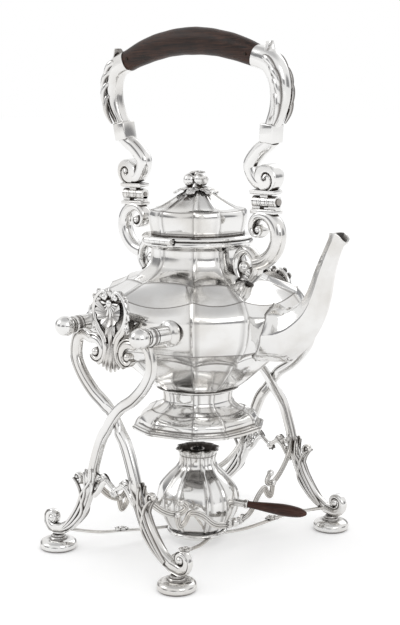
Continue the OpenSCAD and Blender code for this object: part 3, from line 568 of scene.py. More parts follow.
@dataclass
class Workshop:
    """Dresses pieces and hands them over to the frame."""

    finishes: dict[str, bpy.types.Material] = field(default_factory=dict)

    def finish(self, kind: Any) -> bpy.types.Material:
        """The material of a finish, built once."""
        if kind.name not in self.finishes:
            self.finishes[kind.name] = kind.material()
        return self.finishes[kind.name]

    def hand_over(self, piece: bpy.types.Object, body: Body, slot: str,
                  nodes: Sequence[str]) -> None:
        """Makes a finished piece ride on its body in place of its CAD nodes."""
        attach(piece, body.value)
        if nodes:
            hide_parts(*nodes)
        LOG.info("%s: %d faces on %s", piece.name, len(piece.data.polygons), body.value)

    def piece(self, name: str, shape: Shape, body: Body, kind: Any, nodes: Sequence[str] = (),
              slot: str = "silver", modify: Callable[[bpy.types.Object], None] | None = None
              ) -> bpy.types.Object:
        """Makes one piece from its shape.

        Args:
            name: the piece's name.
            shape: its faces.
            body: what it moves with.
            kind: its finish.
            nodes: the CAD nodes that it stands for.
            slot: the record's material slot, which is not used.
            modify: a last change to the object's mesh.

        Returns:
            The piece.
        """
        made = placed(name, shape.mesh(name))
        if modify:
            modify(made)
        made.data.materials.clear()
        made.data.materials.append(self.finish(kind))
        self.hand_over(made, body, slot, nodes)
        return made


def applied(piece: bpy.types.Object) -> None:
    """Turns a piece's modifiers into its plain mesh."""
    bpy.context.view_layer.update()
    seen = piece.evaluated_get(bpy.context.evaluated_depsgraph_get())
    flat = bpy.data.meshes.new_from_object(seen)
    piece.modifiers.clear()
    piece.data = flat


def set_input(modifier: Any, name: str, value: Any) -> None:
    """Sets a Geometry Nodes input by its socket's identifier."""
    for item in modifier.node_group.interface.items_tree:
        if item.item_type == "SOCKET" and item.in_out == "INPUT" and item.name == name:
            modifier[item.identifier] = value


class GeometryTree(Tree):
    """A Geometry Nodes tree with named inputs."""

    def __init__(self, name: str, sizes: dict[str, float]) -> None:
        """Starts a tree whose inputs are a geometry, a material and these sizes."""
        group = bpy.data.node_groups.new(name, "GeometryNodeTree")
        super().__init__(group)
        face = group.interface
        face.new_socket("Geometry", in_out="INPUT", socket_type="NodeSocketGeometry")
        face.new_socket("Finish", in_out="INPUT", socket_type="NodeSocketMaterial")
        for size, value in sizes.items():
            whole = isinstance(value, int)
            face.new_socket(size, in_out="INPUT",
                            socket_type="NodeSocketInt" if whole
                            else "NodeSocketFloat").default_value = value
        face.new_socket("Geometry", in_out="OUTPUT", socket_type="NodeSocketGeometry")
        self.entry = self.node("NodeGroupInput")

    def size(self, name: str) -> Value:
        """One of the named inputs."""
        return self.out(self.entry, name)

    def close(self, geometry: Any) -> Any:
        """Ends the tree in Realize Instances and Set Material."""
        real = self.node("GeometryNodeRealizeInstances", None, {0: geometry})
        dressed = self.node("GeometryNodeSetMaterial", None,
                            {"Geometry": real.outputs[0], "Material": self.entry.outputs["Finish"]})
        self.node("NodeGroupOutput", None, {0: dressed.outputs[0]})
        return self.tree


# The panelled shells of the kettle, its lid, its foot and the burner

PITCH = 72.0
HALF_WIDE = 22.5
HALF_NARROW = (PITCH - 2 * HALF_WIDE) / 2
PANEL_BOW = 0.3
BEAD_WIDTH = 0.85
GROOVE_AT, GROOVE_WIDTH = 1.9, 0.8
# Where the painted shade lies beside each ridge, and its width.
GROOVE_SHADE_AT, GROOVE_SHADE_WIDTH = 1.7, 0.55
CREASE_ROWS = (0.35, 0.8)


def bowed(h: float, t: float) -> float:
    """Share of the corner radius at the angle t from the middle of a panel of half angle h."""
    return mix(math.cos(math.radians(h)) / math.cos(math.radians(t)), 1, PANEL_BOW
               * (1 - (t / h) ** 2))


def panel_columns() -> list[float]:
    """Angles of a ring's points: close beside each ridge, where its bead and groove lie."""
    edge = [1.0, 0.985, 0.97, 0.95, 0.925, 0.89, 0.83, 0.72, 0.58, 0.40, 0.20, 0.0]
    made = []
    for k in range(5):
        for middle, h, skip in ((k * PITCH, HALF_WIDE, 0), ((k + 0.5) * PITCH, HALF_NARROW, 1)):
            shares = [e for i, e in enumerate(edge) if not (skip and 0 < i < 10 and i % 2 == 0)]
            made += [middle - h * s for s in shares]
            made += [middle + h * s for s in reversed(shares[1:-1])]
    return made


class PanelTree(GeometryTree):
    """Turns a round shell with marked rows into a panelled one, with a bead on each ridge."""

    def __init__(self) -> None:
        """Builds the tree."""
        super().__init__("panelled_shell", {
            "Half wide": HALF_WIDE, "Half narrow": HALF_NARROW, "Bow": PANEL_BOW, "Turn": 0.0,
            "Axis": AXIS_X * MM, "Bead": 0.30 * MM, "Groove": 0.26 * MM})
        mark = lambda name: self.out(self.node("GeometryNodeInputNamedAttribute",
                                               {"data_type": "FLOAT"}, {"Name": name}), 0)
        place = self.node("ShaderNodeSeparateXYZ", None,
                          {0: self.node("GeometryNodeInputPosition").outputs[0]})
        x, y, z = self.out(place, 0) - self.size("Axis"), self.out(place, 1), self.out(place, 2)
        r = (x * x + y * y) ** 0.5
        angle = self.math("ARCTAN2", y, x)
        degrees = angle * (180 / math.pi) - self.size("Turn")
        wide, narrow = self.size("Half wide"), self.size("Half narrow")
        within = self.math("WRAP", degrees + wide, PITCH, 0.0)
        is_wide = within < 2 * wide
        half = is_wide * wide + (1 - is_wide) * narrow
        t = is_wide * (within - wide) + (1 - is_wide) * (within - 2 * wide - narrow)
        crown = (1 - (t / half) * (t / half)).held()
        radian = math.pi / 180
        chord = self.math("COSINE", half * radian) / self.math("COSINE", t * radian)
        share = chord + (1 - chord) * self.size("Bow") * crown
        full = mark("full")
        side = (half - self.math("ABSOLUTE", t)) * r * radian
        bell_of = lambda d, width: self.math("EXPONENT", (d / width) * (d / width) * -1.0)
        groove = bell_of(side - GROOVE_AT * MM, GROOVE_WIDTH * MM) * self.size("Groove")
        beam = bell_of(side, BEAD_WIDTH * MM) * self.size("Bead") - groove
        out_r = r * (1 + (share - 1) * full) + beam * full + mark("puff") * MM * crown
        down = mark("sag") * MM * crown * (0.55 + 0.45 * is_wide)
        vector = self.node("ShaderNodeCombineXYZ", None, {
            0: out_r * self.math("COSINE", angle) + self.size("Axis"),
            1: out_r * self.math("SINE", angle), 2: z - down})
        moved = self.node("GeometryNodeSetPosition", None,
                          {"Geometry": self.entry.outputs[0], "Position": vector.outputs[0]})
        # Painted shade in the groove beside each ridge and at each crease, standing also for
        # patina.
        groove_shading = bell_of(side - GROOVE_SHADE_AT * MM, GROOVE_SHADE_WIDTH * MM) * mark("etch")
        line = groove_shading.most(mark("crease"))
        stored = self.node("GeometryNodeStoreNamedAttribute",
                           {"data_type": "FLOAT", "domain": "POINT"},
                           {"Geometry": moved.outputs[0], "Name": "line", "Value": line})
        self.close(stored.outputs[0])


Row = tuple[float, float, float, float, float, float, float]  # r, z, full, sag, puff, painted shade at a crease, painted shade in the ridge grooves


@dataclass
class PanelledShell:
    """A panelled shell from curves of rows, which keep the crease where two curves meet."""

    name: str
    body: Body
    finish: Any
    nodes: Sequence[str]
    turn: float = 0.0
    steps: int = 7
    slot: str = "silver"
    bead: float = 0.30
    groove: float = 0.26

    def rows(self, curves: Sequence[Sequence[Point]], etch: float) -> list[Row]:
        """Fine rows along the curves of [r, z, full, sag, puff]; rows beside a crease are close.

        Args:
            curves: the shell's profile.
            etch: the painted shade in the grooves beside its ridges, standing also for patina.

        Returns:
            The rows.
        """
        made: list[Row] = []
        for index, points in enumerate(curves):
            fine = curve([tuple(p) for p in points], self.steps)
            length = [0.0]
            for a, b in zip(fine, fine[1:]):
                length.append(length[-1] + math.hypot(b[0] - a[0], b[1] - a[1]))
            whole = length[-1]
            extra = [s for s in CREASE_ROWS if s < whole / 3]
            close = [0.0, whole] + extra + [whole - s for s in extra]
            marks = sorted(set(close + [s for s in length if all(abs(s - e) > 0.3 for e in close)]))
            for s in marks:
                if index and s == 0.0:
                    continue
                i = max(k for k in range(len(length) - 1) if length[k] <= s + 1e-9)
                t = (s - length[i]) / max(length[i + 1] - length[i], 1e-9)
                row = [mix(a, b, t) for a, b in zip(fine[i], fine[i + 1])]
                # Rows at a crease between two curves get painted shade.
                near = 0.0
                if index < len(curves) - 1 and whole - s < 0.9:
                    near = 0.55 if s == whole else 1.0 if whole - s < 0.6 else 0.45
                made.append((*row, near, etch))
        return made

    def build(self, shop: Workshop, rows: Sequence[Row], soot: Sequence[float],
              modify: Callable[[bpy.types.Object], None] | None = None, shut: bool = False,
              ) -> bpy.types.Object:
        """Builds the shell.

        Args:
            shop: where the piece is dressed.
            rows: all rows of the wall, outside and inside.
            soot: the painted shade of each row, for the darkness inside hollows.
            modify: a last change, such as holes.
            shut: joins the last row to the first.

        Returns:
            The piece.
        """
        angles = [math.radians(a + self.turn) for a in panel_columns()]
        shape = Shape()
        rings = [[Vector((r[0] * math.cos(a), r[0] * math.sin(a), r[1]))
                  for a in angles] for r in rows]
        spread = lambda values: [v for v in values for _ in angles]
        marks = {name: spread([row[k] for row in rows])
                 for k, name in enumerate(("full", "sag", "puff", "crease", "etch"), 2)}
        # Each row's painted shade for the inside is stored on the mesh.
        shape.rings(rings, shut=shut, **marks, soot=spread(soot))

        def panel(piece: bpy.types.Object) -> None:
            """Runs the panel tree, and then the last change."""
            group = bpy.data.node_groups.get("panelled_shell") or PanelTree().tree
            made = piece.modifiers.new("panels", "NODES")
            made.node_group = group
            set_input(made, "Finish", shop.finish(self.finish))
            set_input(made, "Turn", self.turn)
            set_input(made, "Bead", self.bead * MM)
            set_input(made, "Groove", self.groove * MM)
            applied(piece)
            piece.data.set_sharp_from_angle(angle=SHARP)
            if modify:
                modify(piece)

        return shop.piece(self.name, shape, self.body, self.finish, self.nodes, self.slot, panel)


def plain_row(r: float, z: float, full: float = 1) -> Row:
    """A row without sag, puff or painted shade."""
    return r, z, full, 0, 0, 0, 0


def inner_rows(rows: Sequence[Row], wall: float, low: float) -> list[Row]:
    """The rows of the inside of a wall, from top to bottom, above the height low."""
    made = []
    for i in range(len(rows) - 1, -1, -1):
        a, b = held(rows, i - 1), held(rows, i + 1)
        d = Vector((b[0] - a[0], b[1] - a[1]))
        if d.length < 1e-9:
            continue
        d.normalize()
        r, z = rows[i][0] - wall * d.y, rows[i][1] + wall * d.x
        if z > low:
            made.append((r, z, *rows[i][2:5], 0.0, 0.0))
    return made


def drilled(piece: bpy.types.Object, holes: Sequence[tuple[Vector, Vector, float, float]]) -> None:
    """Drills round holes: middle, direction, radius and length in millimetres."""
    shape = Shape()
    for middle, way, radius, length in holes:
        turn = Vector((0, 0, 1)).rotation_difference(way).to_matrix().to_4x4()
        shape.lathe([(0.01, -length / 2), (radius, -length / 2), (radius, length / 2),
                     (0.01, length / 2)],
                    Matrix.Translation(middle) @ turn, 24)
    tool = placed("drill", shape.mesh("drill"))
    cut = piece.modifiers.new("holes", "BOOLEAN")
    cut.operation, cut.solver, cut.object = "DIFFERENCE", "EXACT", tool
    applied(piece)
    bpy.data.objects.remove(tool)


# Ornament

SIDE_Y = Vector((0, 1, 0))
FLIP_X = Vector((1, 0, 0))
# Painted shade on the underside of every leaf.
UNDERSIDE_SHADE = 0.5
ROUND = [(math.cos(2 * math.pi * i / 20), math.sin(2 * math.pi * i / 20)) for i in range(20)]
# Painted shade along both edges of a round strand, where it meets what it lies on; it stands also
# for patina.
EDGE_SHADE = [0.95 * max(0.0, (abs(c) - 0.55) / 0.45) for c, _ in ROUND]


def reeded_section() -> tuple[list[Point], list[float]]:
    """Outline of a leg: a broad crowned face with a groove and a bead along one edge.

    Returns:
        Corners in shares of half width and half thickness, and the painted shade of each, which
        lies in the groove.
    """
    face = [(-1.0, 0.0), (-0.985, 0.30), (-0.92, 0.58), (-0.80, 0.78), (-0.60, 0.93),
            (-0.34, 1.0), (-0.08, 1.0), (0.18, 0.94), (0.38, 0.82), (0.50, 0.64), (0.56, 0.55),
            (0.62, 0.64), (0.70, 0.86), (0.80, 0.96), (0.90, 0.90), (0.97, 0.66), (1.0, 0.34)]
    # Painted shade in the groove beside the bead.
    tone = [0, 0, 0, 0, 0, 0, 0, 0, 0, 0.45, 0.95, 0.45, 0, 0, 0, 0, 0]
    return face + [(-a, -b) for a, b in face], tone + tone


def soft_section(flat: float, sides: int = 24) -> list[Point]:
    """A rounded-square outline; flat is 0 for an oval and 1 for a square."""
    power = mix(1.0, 0.42, flat)
    made = []
    for i in range(sides):
        a = 2 * math.pi * (i + 0.5) / sides
        c, s = math.cos(a), math.sin(a)
        made.append((math.copysign(abs(c) ** power, c), math.copysign(abs(s) ** power, s)))
    return made


def flat_way(points: Sequence[Point], v0: float, v1: float, y: float = 0.0
             ) -> list[tuple[Vector, float, float]]:
    """A way in an XZ plane for a sweep whose half thickness goes from v0 to v1."""
    last = len(points) - 1
    return [(Vector((p[0], y, p[1])), p[2], mix(v0, v1, i / last)) for i, p in enumerate(points)]


def handed(points: Sequence[Point], s: int) -> list[Point]:
    """Points [x, z, half width] put on the side s of the middle."""
    return [(s * x, z, w) for x, z, w in points]


@dataclass
class Leaf:
    """A chased acanthus leaf: a lobed blade with a midrib, veins and a curled tip."""

    width: float
    lobes: int = 4
    crown: float = 0.8
    cut: float = 0.34
    thick: float = 0.9
    vein: float = 0.38
    wrap: float = 0.0
    shape: Callable[[float], float] = lambda t: math.sin(math.pi * mix(0.10, 0.985, t)) ** 0.75

    def add(self, to: Shape, spine: Sequence[Vector], face: Sequence[float],
            steps: int = 9) -> None:
        """Adds the leaf to a shape.

        Args:
            to: the shape.
            spine: points along the midrib, from root to tip.
            face: the direction that the blade's upper side faces.
            steps: columns on each side of the midrib.
        """
        line = curve([tuple(p) for p in spine], max(3, 44 // len(spine)))
        n = len(line)
        rings: list[Ring] = []
        tone: list[float] = []
        for i, p in enumerate(line):
            t = i / (n - 1)
            d = (Vector(held(line, i + 1)) - Vector(held(line, i - 1))).normalized()
            side = d.cross(Vector(face)).normalized()
            up = side.cross(d).normalized()
            beat = (self.lobes * t + 0.15) % 1.0
            swell = math.sin(math.pi * min(1.0, beat ** 0.7))
            edge = 1 - self.cut * (1 - swell) * min(1.0, 4 * (1 - t))
            half = self.width / 2 * self.shape(t) * edge
            ring_top, ring_under = [], []
            for j in range(-steps, steps + 1):
                s = j / steps
                phase = (self.lobes * (t + 0.16 * abs(s)) + 0.15) % 1.0
                off = phase - (0.02 if phase < 0.5 else 1.02)
                vein = bell(off, 0.10) * min(1, 3.2 * abs(s))
                rib = bell(s, 0.13)
                valley = bell(abs(s) - 0.27, 0.10)
                puff = math.sin(math.pi * phase) * abs(s) * (1.3 - abs(s))
                height = (self.crown * (1 - s * s) * 0.55 + 0.9 * self.vein * rib
                          - self.vein * (vein + 0.6 * valley) + self.crown * 0.8 * puff
                          - self.wrap * s * s * self.shape(t))
                q = Vector(p) + side * (half * s) + up * height
                ring_top.append(q)
                ring_under.append(q - up * self.thick * (1.02 - 0.75 * abs(s)))
                # Painted shade in the veins and valleys, standing also for patina.
                tone.append(min(1.0, 0.85 * vein + 0.55 * valley * (1 - t)))
            rings.append(ring_top + ring_under[::-1])
            # The underside gets painted shade.
            tone += [UNDERSIDE_SHADE] * len(ring_under)
        to.rings(rings, line=tone)


def coil_face(to: Shape, centre: Vector, axis: Vector, radius: float, thick: float, a0: float,
              hand: int, turns: float = 1.45) -> None:
    """Adds a rolled end: a drum whose faces show the spiral line of the roll.

    Args:
        to: the shape.
        centre: the middle of the drum.
        axis: its axis.
        radius: its radius.
        thick: its thickness.
        a0: where the spiral leaves the rim, in degrees.
        hand: 1 or -1 for the way it winds.
        turns: how far it winds.
    """
    x = Vector((1, 0, 0))
    z = axis.cross(x).normalized() * (1 if axis.y < 0 else -1)
    sides = 72
    radii = [0.0, 0.12, 0.2, 0.28, 0.34, 0.4, 0.46, 0.52, 0.58, 0.64, 0.7, 0.76, 0.82, 0.88, 0.94]
    rim = [(0.985, 0.88), (1.0, 0.72), (1.0, 0.3)]
    rings: list[Ring] = []
    tone: list[float] = []

    def groove(share: float, angle: float) -> float:
        """How deep the spiral line is at this place."""
        best = 0.0
        turn = (hand * (angle - math.radians(a0))) % (2 * math.pi)
        while turn < 2 * math.pi * turns + 0.01:
            line = 0.98 * math.exp(-1.05 * turn / math.pi / turns * 1.25)
            best = max(best, bell(share - line, 0.055))
            turn += 2 * math.pi
        return best

    for way in (1, -1):
        face = []
        for share, depth in [(r, 1.0) for r in radii] + rim:
            ring = []
            for j in range(sides):
                a = 2 * math.pi * j / sides
                g = groove(share, a) if depth == 1.0 else 0.0
                dome = 0.10 * (1 - share * share) + 0.22 * bell(share, 0.17)
                ring.append(centre + radius * max(share, 0.004)
                            * (math.cos(a) * x + math.sin(a) * z)
                            + way * axis * thick / 2 * (0.90 * depth + dome - 0.30 * g))
            # Painted shade in the spiral groove, standing also for patina.
            face.append((ring, [0.95 * groove(share, 2 * math.pi * j / sides) * (depth == 1.0)
                                for j in range(sides)]))
        face = face if way > 0 else face[::-1]
        for ring, marks in face:
            rings.append(ring)
            tone += marks
    to.rings(rings, line=tone)


@dataclass
class Kettle:
    """The kettle: panelled body and foot, spout, brackets and the fittings of its rim."""

    foot_z: float = 90.0
    foot_r: float = 50.6
    foot_h: float = 28.5
    body_r: float = 82.8
    body_h: float = 105.0
    neck_r: float = 35.3
    wall: float = 1.4
    spout_reach: float = 136.5
    spout_rise: float = 122.5
    root_h: float = 21.4
    root_w: float = 17.4
    bail_x: float = 66.0
    bail_z: float = 262.8
    hinge_l: float = 22.0
    barrel_r: float = 4.2
    hole_pitch: float = 7.48
    hole_r: float = 2.2
    silver: Silver = PLAIN

    @property
    def body_z(self) -> float:
        """Height of the body's bottom."""
        return self.foot_z + self.foot_h + 3.0

    def body_curves(self) -> list[list[Point]]:
        """Profile of the body as [r, z, full, sag, puff]."""
        r, h = self.body_r, self.body_h
        shares = [
            [(0.375, 0, 1, 0, 0), (0.44, 0.035, 1, 0, 0), (0.50, 0.075, 1, 0, 0.2),
             (0.585, 0.135, 1, -1.2, 0.7), (0.67, 0.195, 1, -2.6, 0.8), (0.735, 0.245, 1, -3.6, 0)],
            [(0.735, 0.245, 1, -3.6, 0), (0.80, 0.275, 1, -1.8, -0.5), (0.90, 0.34, 1, 0, 0)],
            [(0.90, 0.34, 1, 0, 0), (0.968, 0.42, 1, 0.2, 0), (1, 0.53, 1, 0.8, 0),
             (0.99, 0.61, 1, 2.2, 0.2), (0.91, 0.705, 1, 5.4, 0.6)],
            [(0.91, 0.705, 1, 5.4, 0.6), (0.78, 0.742, 1, 1.6, -1.3), (0.65, 0.78, 1, -2.2, 0)]]
        made = [[(a * r, b * h + self.body_z, f, s, p) for a, b, f, s, p in c] for c in shares]
        z = lambda share: self.body_z + share * h
        made.append([(0.65 * r, z(0.78), 1, -2.2, 0), (0.55 * r, z(0.815), 1, -1.2, -0.8),
                     (self.neck_r + 3.5, z(0.87), 1, 0, -0.8),
                     (self.neck_r + 0.4, z(0.93), 1, 0, -0.4), (self.neck_r, z(1.0), 1, 0, 0)])
        return made

    def build_body(self, shop: Workshop) -> None:
        """Builds the panelled body with the strainer's holes."""
        shell = PanelledShell("kettle_body_panels", Body.KETTLE, self.silver, ["kettle_body"])
        outer = shell.rows(self.body_curves(), 0.55)
        inner = inner_rows(outer, self.wall, self.body_z + self.wall)
        r0 = self.body_r * 0.375
        rows = ([plain_row(0.3, self.body_z, 0), plain_row(r0 - 1.0, self.body_z)] + outer + inner
                + [plain_row(r0 - self.wall, self.body_z + self.wall),
                   plain_row(0.3, self.body_z + self.wall, 0)])
        # Painted shade over the inside of the body.
        soot = [0.0] * (len(outer) + 2) + [0.25] * (len(rows) - len(outer) - 2)
        middle = self.body_z + 0.45 * self.body_h
        pitch, wall = self.hole_pitch, self.body_r * 0.95
        holes = [(Vector((wall, pitch * i, middle + pitch * j)), FLIP_X, self.hole_r, 24.0)
                 for i, j in ((0, 0), (1, 1), (1, -1), (-1, 1), (-1, -1))]
        shell.build(shop, rows, soot, lambda piece: drilled(piece, holes))

    def build_foot(self, shop: Workshop) -> None:
        """Builds the foot: a waist, a convex bulge and a lobed double rim."""
        h, r, z = self.foot_h, self.foot_r, self.foot_z
        up = lambda points: [(a, b + z, f, s, p) for a, b, f, s, p in points]
        curves = [
            up([(27, h, 1, 0, 0), (26.4, 23.5, 1, 0, -0.4), (27.2, 20, 1, 0, -0.5),
                (31, 16.7, 1, 0.4, -0.4), (36.5, 14.6, 1, 1.6, 0)]),
            up([(36.5, 14.6, 1, 1.6, 0), (41.5, 12.2, 1, 0.9, 0.8), (44.8, 8.6, 1, 0.3, 1.0),
                (45.6, 4.4, 1, 0, 0.3)]),
            up([(45.6, 4.4, 1, 0, 0.3), (47.4, 3.9, 1, 0, -0.2), (r - 1.4, 3.4, 1, 0, 0)]),
            up([(r - 1.4, 3.4, 1, 0, 0), (r - 0.4, 2.8, 1, 0, 0), (r, 1.8, 1, 0, 0)]),
            up([(r, 1.8, 1, 0, 0), (r, 0.9, 1, 0, 0), (r - 0.3, 0, 1, 0, 0)])]
        shell = PanelledShell("kettle_foot_panels", Body.KETTLE, self.silver,
                              ["kettle_foot"], steps=6)
        outer = shell.rows(curves, 0.6)
        inner = inner_rows(outer[::-1], self.wall, z)[::-1]
        # Painted shade over the inside of the foot, darker higher up inside it.
        soot = [0.0] * len(outer) + [min(0.92, 0.45 + 0.4 * (row[1] - z) / h) for row in inner]
        shell.build(shop, list(outer) + inner, soot, shut=True)

    def body_r_at(self, z: float) -> float:
        """Radius of the body's corners at a height."""
        points = [(p[1], p[0]) for c in self.body_curves() for p in curve(c, 6)]
        for a, b in zip(points, points[1:]):
            if a[0] <= z <= b[0]:
                return mix(a[1], b[1], (z - a[0]) / max(b[0] - a[0], 1e-9))
        return points[-1][1]

    def section(self, a: float, ridge: float) -> tuple[float, float]:
        """Corner of the spout's section at an angle, with its ridges above and below."""
        t = math.radians(a % 45 - 22.5)
        q = mix(math.cos(math.radians(22.5)) / math.cos(t), 1, 0.12)
        q *= 1 + ridge * (0.045 * bell(a - 90, 7) - 0.028 * (bell(a - 75, 5) + bell(a - 105, 5)))
        q *= 1 + ridge * (0.035 * bell(a - 270, 8) - 0.02 * (bell(a - 252, 6) + bell(a - 288, 6)))
        return q * math.cos(math.radians(a)), q * math.sin(math.radians(a))

    def build_spout(self, shop: Workshop) -> None:
        """Builds the spout: a cusped root, ridges along its back and belly, a flared beak."""
        low, high = self.body_z + 0.455 * self.body_h, self.body_z + self.spout_rise
        way = curve([
            (0.615, 0.02, 12, 20.6, 15.4), (0.70, 0.095, 36, 15.6, 12.9),
            (0.785, 0.24, 56, 11.8, 10.4), (0.835, 0.42, 68, 9.2, 8.8), (0.868, 0.62, 70, 7.6, 7.4),
            (0.905, 0.80, 63, 6.3, 6.5), (0.938, 0.93, 62, 6.1, 6.1),
            (0.955, 0.985, 70, 8.0, 6.0)], 6)
        sides = 64
        angles = [360 * i / sides for i in range(sides)]

        def station(s: Point, inset: float, ridge: float) -> Ring:
            """One section of the spout."""
            up = math.radians(s[2] + 90)
            made = []
            for a in angles:
                y, h = self.section(a, ridge)
                y, h = y * (s[4] - inset), h * (s[3] - inset)
                lip = -1.7 * max(0.0, (s[1] - 0.90)
                                 / 0.085) ** 1.5 * math.cos(math.radians(2 * a - 180))
                ahead = math.radians(s[2])
                made.append(Vector((s[0] * self.spout_reach + h * math.cos(up) + lip
                                    * math.cos(ahead), y, mix(low, high, s[1]) + h * math.sin(up)
                                    + lip * math.sin(ahead))))
            return made

        def root(inset: float, out: float, grow: float) -> Ring:
            """The ring on the body's panel."""
            made = []
            for a in angles:
                y, h = self.section(a, 0.5)
                cusp = 1 + grow * (0.02 + 0.035 * abs(math.sin(math.radians(2 * a))) ** 0.8)
                y, h = y * (self.root_w - inset) * cusp, h * (self.root_h - inset) * cusp
                r0 = self.body_r_at(low + h)
                turn = math.degrees(math.asin(max(-1, min(1, y / r0))))
                r = r0 * bowed(HALF_WIDE, min(HALF_WIDE, abs(turn)))
                made.append(Vector((math.sqrt(max(r * r - y * y, 1)) + out, y, low + h)))
            return made

        outside = [root(0, -0.5, 1.0), root(0, 0.35, 0.85), root(0, 0.75, 0.35), root(0, 1.0, 0.0)]
        outside += [station(s, 0, min(1, 0.4 + 0.05 * i)) for i, s in enumerate(way)]
        inside = [station(s, self.wall, 0) for s in reversed(way)] + [root(self.wall, -0.5, 0)]
        # Painted shade where the spout meets the body, which also stands for the dark seam there.
        tone = [0.9, 0.75, 0.1, 0.0] + [0.0] * len(way) + [0.0] * len(inside)
        # Painted shade over the inside of the spout, darker deeper in.
        dark = [0.0] * (len(way) + 4) + [min(0.92, 0.35 + 0.1 * i) for i in range(len(inside))]
        shape = Shape()
        shape.rings(outside + inside, shut=True, line=[v for v in tone for _ in angles],
                    soot=[v for v in dark for _ in angles])
        shop.piece("spout_skin", shape, Body.KETTLE, self.silver, ["spout"])

    def hinge_barrel(self, to: Shape, x0: float, x1: float) -> None:
        """Adds one turned hinge knuckle with a groove near each end."""
        r, h = self.barrel_r, x1 - x0
        turn = Matrix.Translation((x0, 0, self.bail_z)) @ Matrix.Rotation(math.pi / 2, 4, "Y")
        profile = [(1.75, 0), (r - 0.5, 0), (r, 0.5), (r, 1.3), (r - 0.45, 1.6),
                   (r, 1.9), (r, h - 1.9), (r - 0.45, h - 1.6), (r, h - 1.3), (r, h - 0.5),
                   (r - 0.5, h), (1.75, h)]
        # Painted shade in the grooves near each end.
        tone = [0, 0, 0, 0, 0.8, 0, 0, 0.8, 0, 0, 0, 0]
        to.lathe(profile, turn, 40, True, line=tone)

    def hinge_plate(self, to: Shape, side: int) -> float:
        """Adds the plate under (-1) or over (1) the hinge's barrels.

        Args:
            to: the shape.
            side: which of the two plates.

        Returns:
            The height of the plate's face towards the barrels.
        """
        face = self.bail_z + side * (self.barrel_r + 1.6)
        for off, size, bevel in ((1.3, (self.hinge_l, 10, 2.6), 0.5),
                                 (0.1, (self.hinge_l - 1.6, 8.6, 1.0), 0.35)):
            to.block(Vector((self.bail_x, 0, face + side * off)), size, bevel)
        return face

    def bracket(self) -> Shape:
        """One bracket at +X: a C scroll on an arch with a ball, and the lower half of a hinge."""
        shape = Shape()
        eye = (self.bail_x - 4.5, self.bail_z - 19.9)
        shape.sweep(flat_way(scroll(eye, 2.3, 24.4, 400, -98, 0.37, 5.4, 90), 5.2, 5.6), SIDE_Y,
                    soft_section(0.25))
        shape.ball(Vector((eye[0], 0, eye[1])), 3.5, 24, (1, 1.62, 1))
        ball = (self.neck_r + 11.6, self.body_z + self.body_h - 11.8)
        at = lambda x, z: (ball[0] + x, ball[1] + z)
        arch = graded(curve([at(7, -8.6), at(11.6, -2), at(9.6, 7.4), at(2, 12.8),
                             at(-5.4, 8.6), at(-7.2, -0.6), at(-4, -8.8)], 8), 2.6, 4.4, 2.2)
        shape.sweep(flat_way(arch, 5, 4), SIDE_Y, soft_section(0.2))
        centre = Vector((ball[0], 0, ball[1]))
        shape.ball(centre, 4.7, 36)
        tail = Matrix.Translation(centre) @ Matrix.Rotation(math.radians(133), 4, "Y")
        shape.lathe([(0.01, 0), (3.6, 1), (4.0, 3.4), (3.4, 6), (2.5, 8.4), (1.6, 10),
                     (0.01, 10.6)], tail, 32)
        ring = [(0.2, 3.0), (4.2, 3.1), (4.5, 3.6), (4.2, 4.1), (0.2, 4.2)]
        # Painted shade in the ring's grooves.
        shape.lathe(ring, tail, 32, line=[0, 0.7, 0, 0.7, 0])
        top = self.hinge_plate(shape, -1)
        half, third = self.hinge_l / 2, self.hinge_l / 6
        for x0, x1 in ((self.bail_x - half, self.bail_x - third - 0.1),
                       (self.bail_x + third + 0.1, self.bail_x + half)):
            self.hinge_barrel(shape, x0, x1)
            shape.block(Vector(((x0 + x1) / 2, 0, top + 1.6)), (x1 - x0, 5.2, 5.2), 0.3)
        return shape

    def build(self, shop: Workshop) -> None:
        """Builds the whole kettle."""
        self.build_body(shop)
        self.build_foot(shop)
        self.build_spout(shop)
        front = self.bracket()
        shop.piece("bracket_front_cast", front, Body.KETTLE, self.silver, ["bracket_front"])
        shop.piece("bracket_back_cast", front.mirrored(FLIP_X), Body.KETTLE, self.silver,
                   ["bracket_back"])


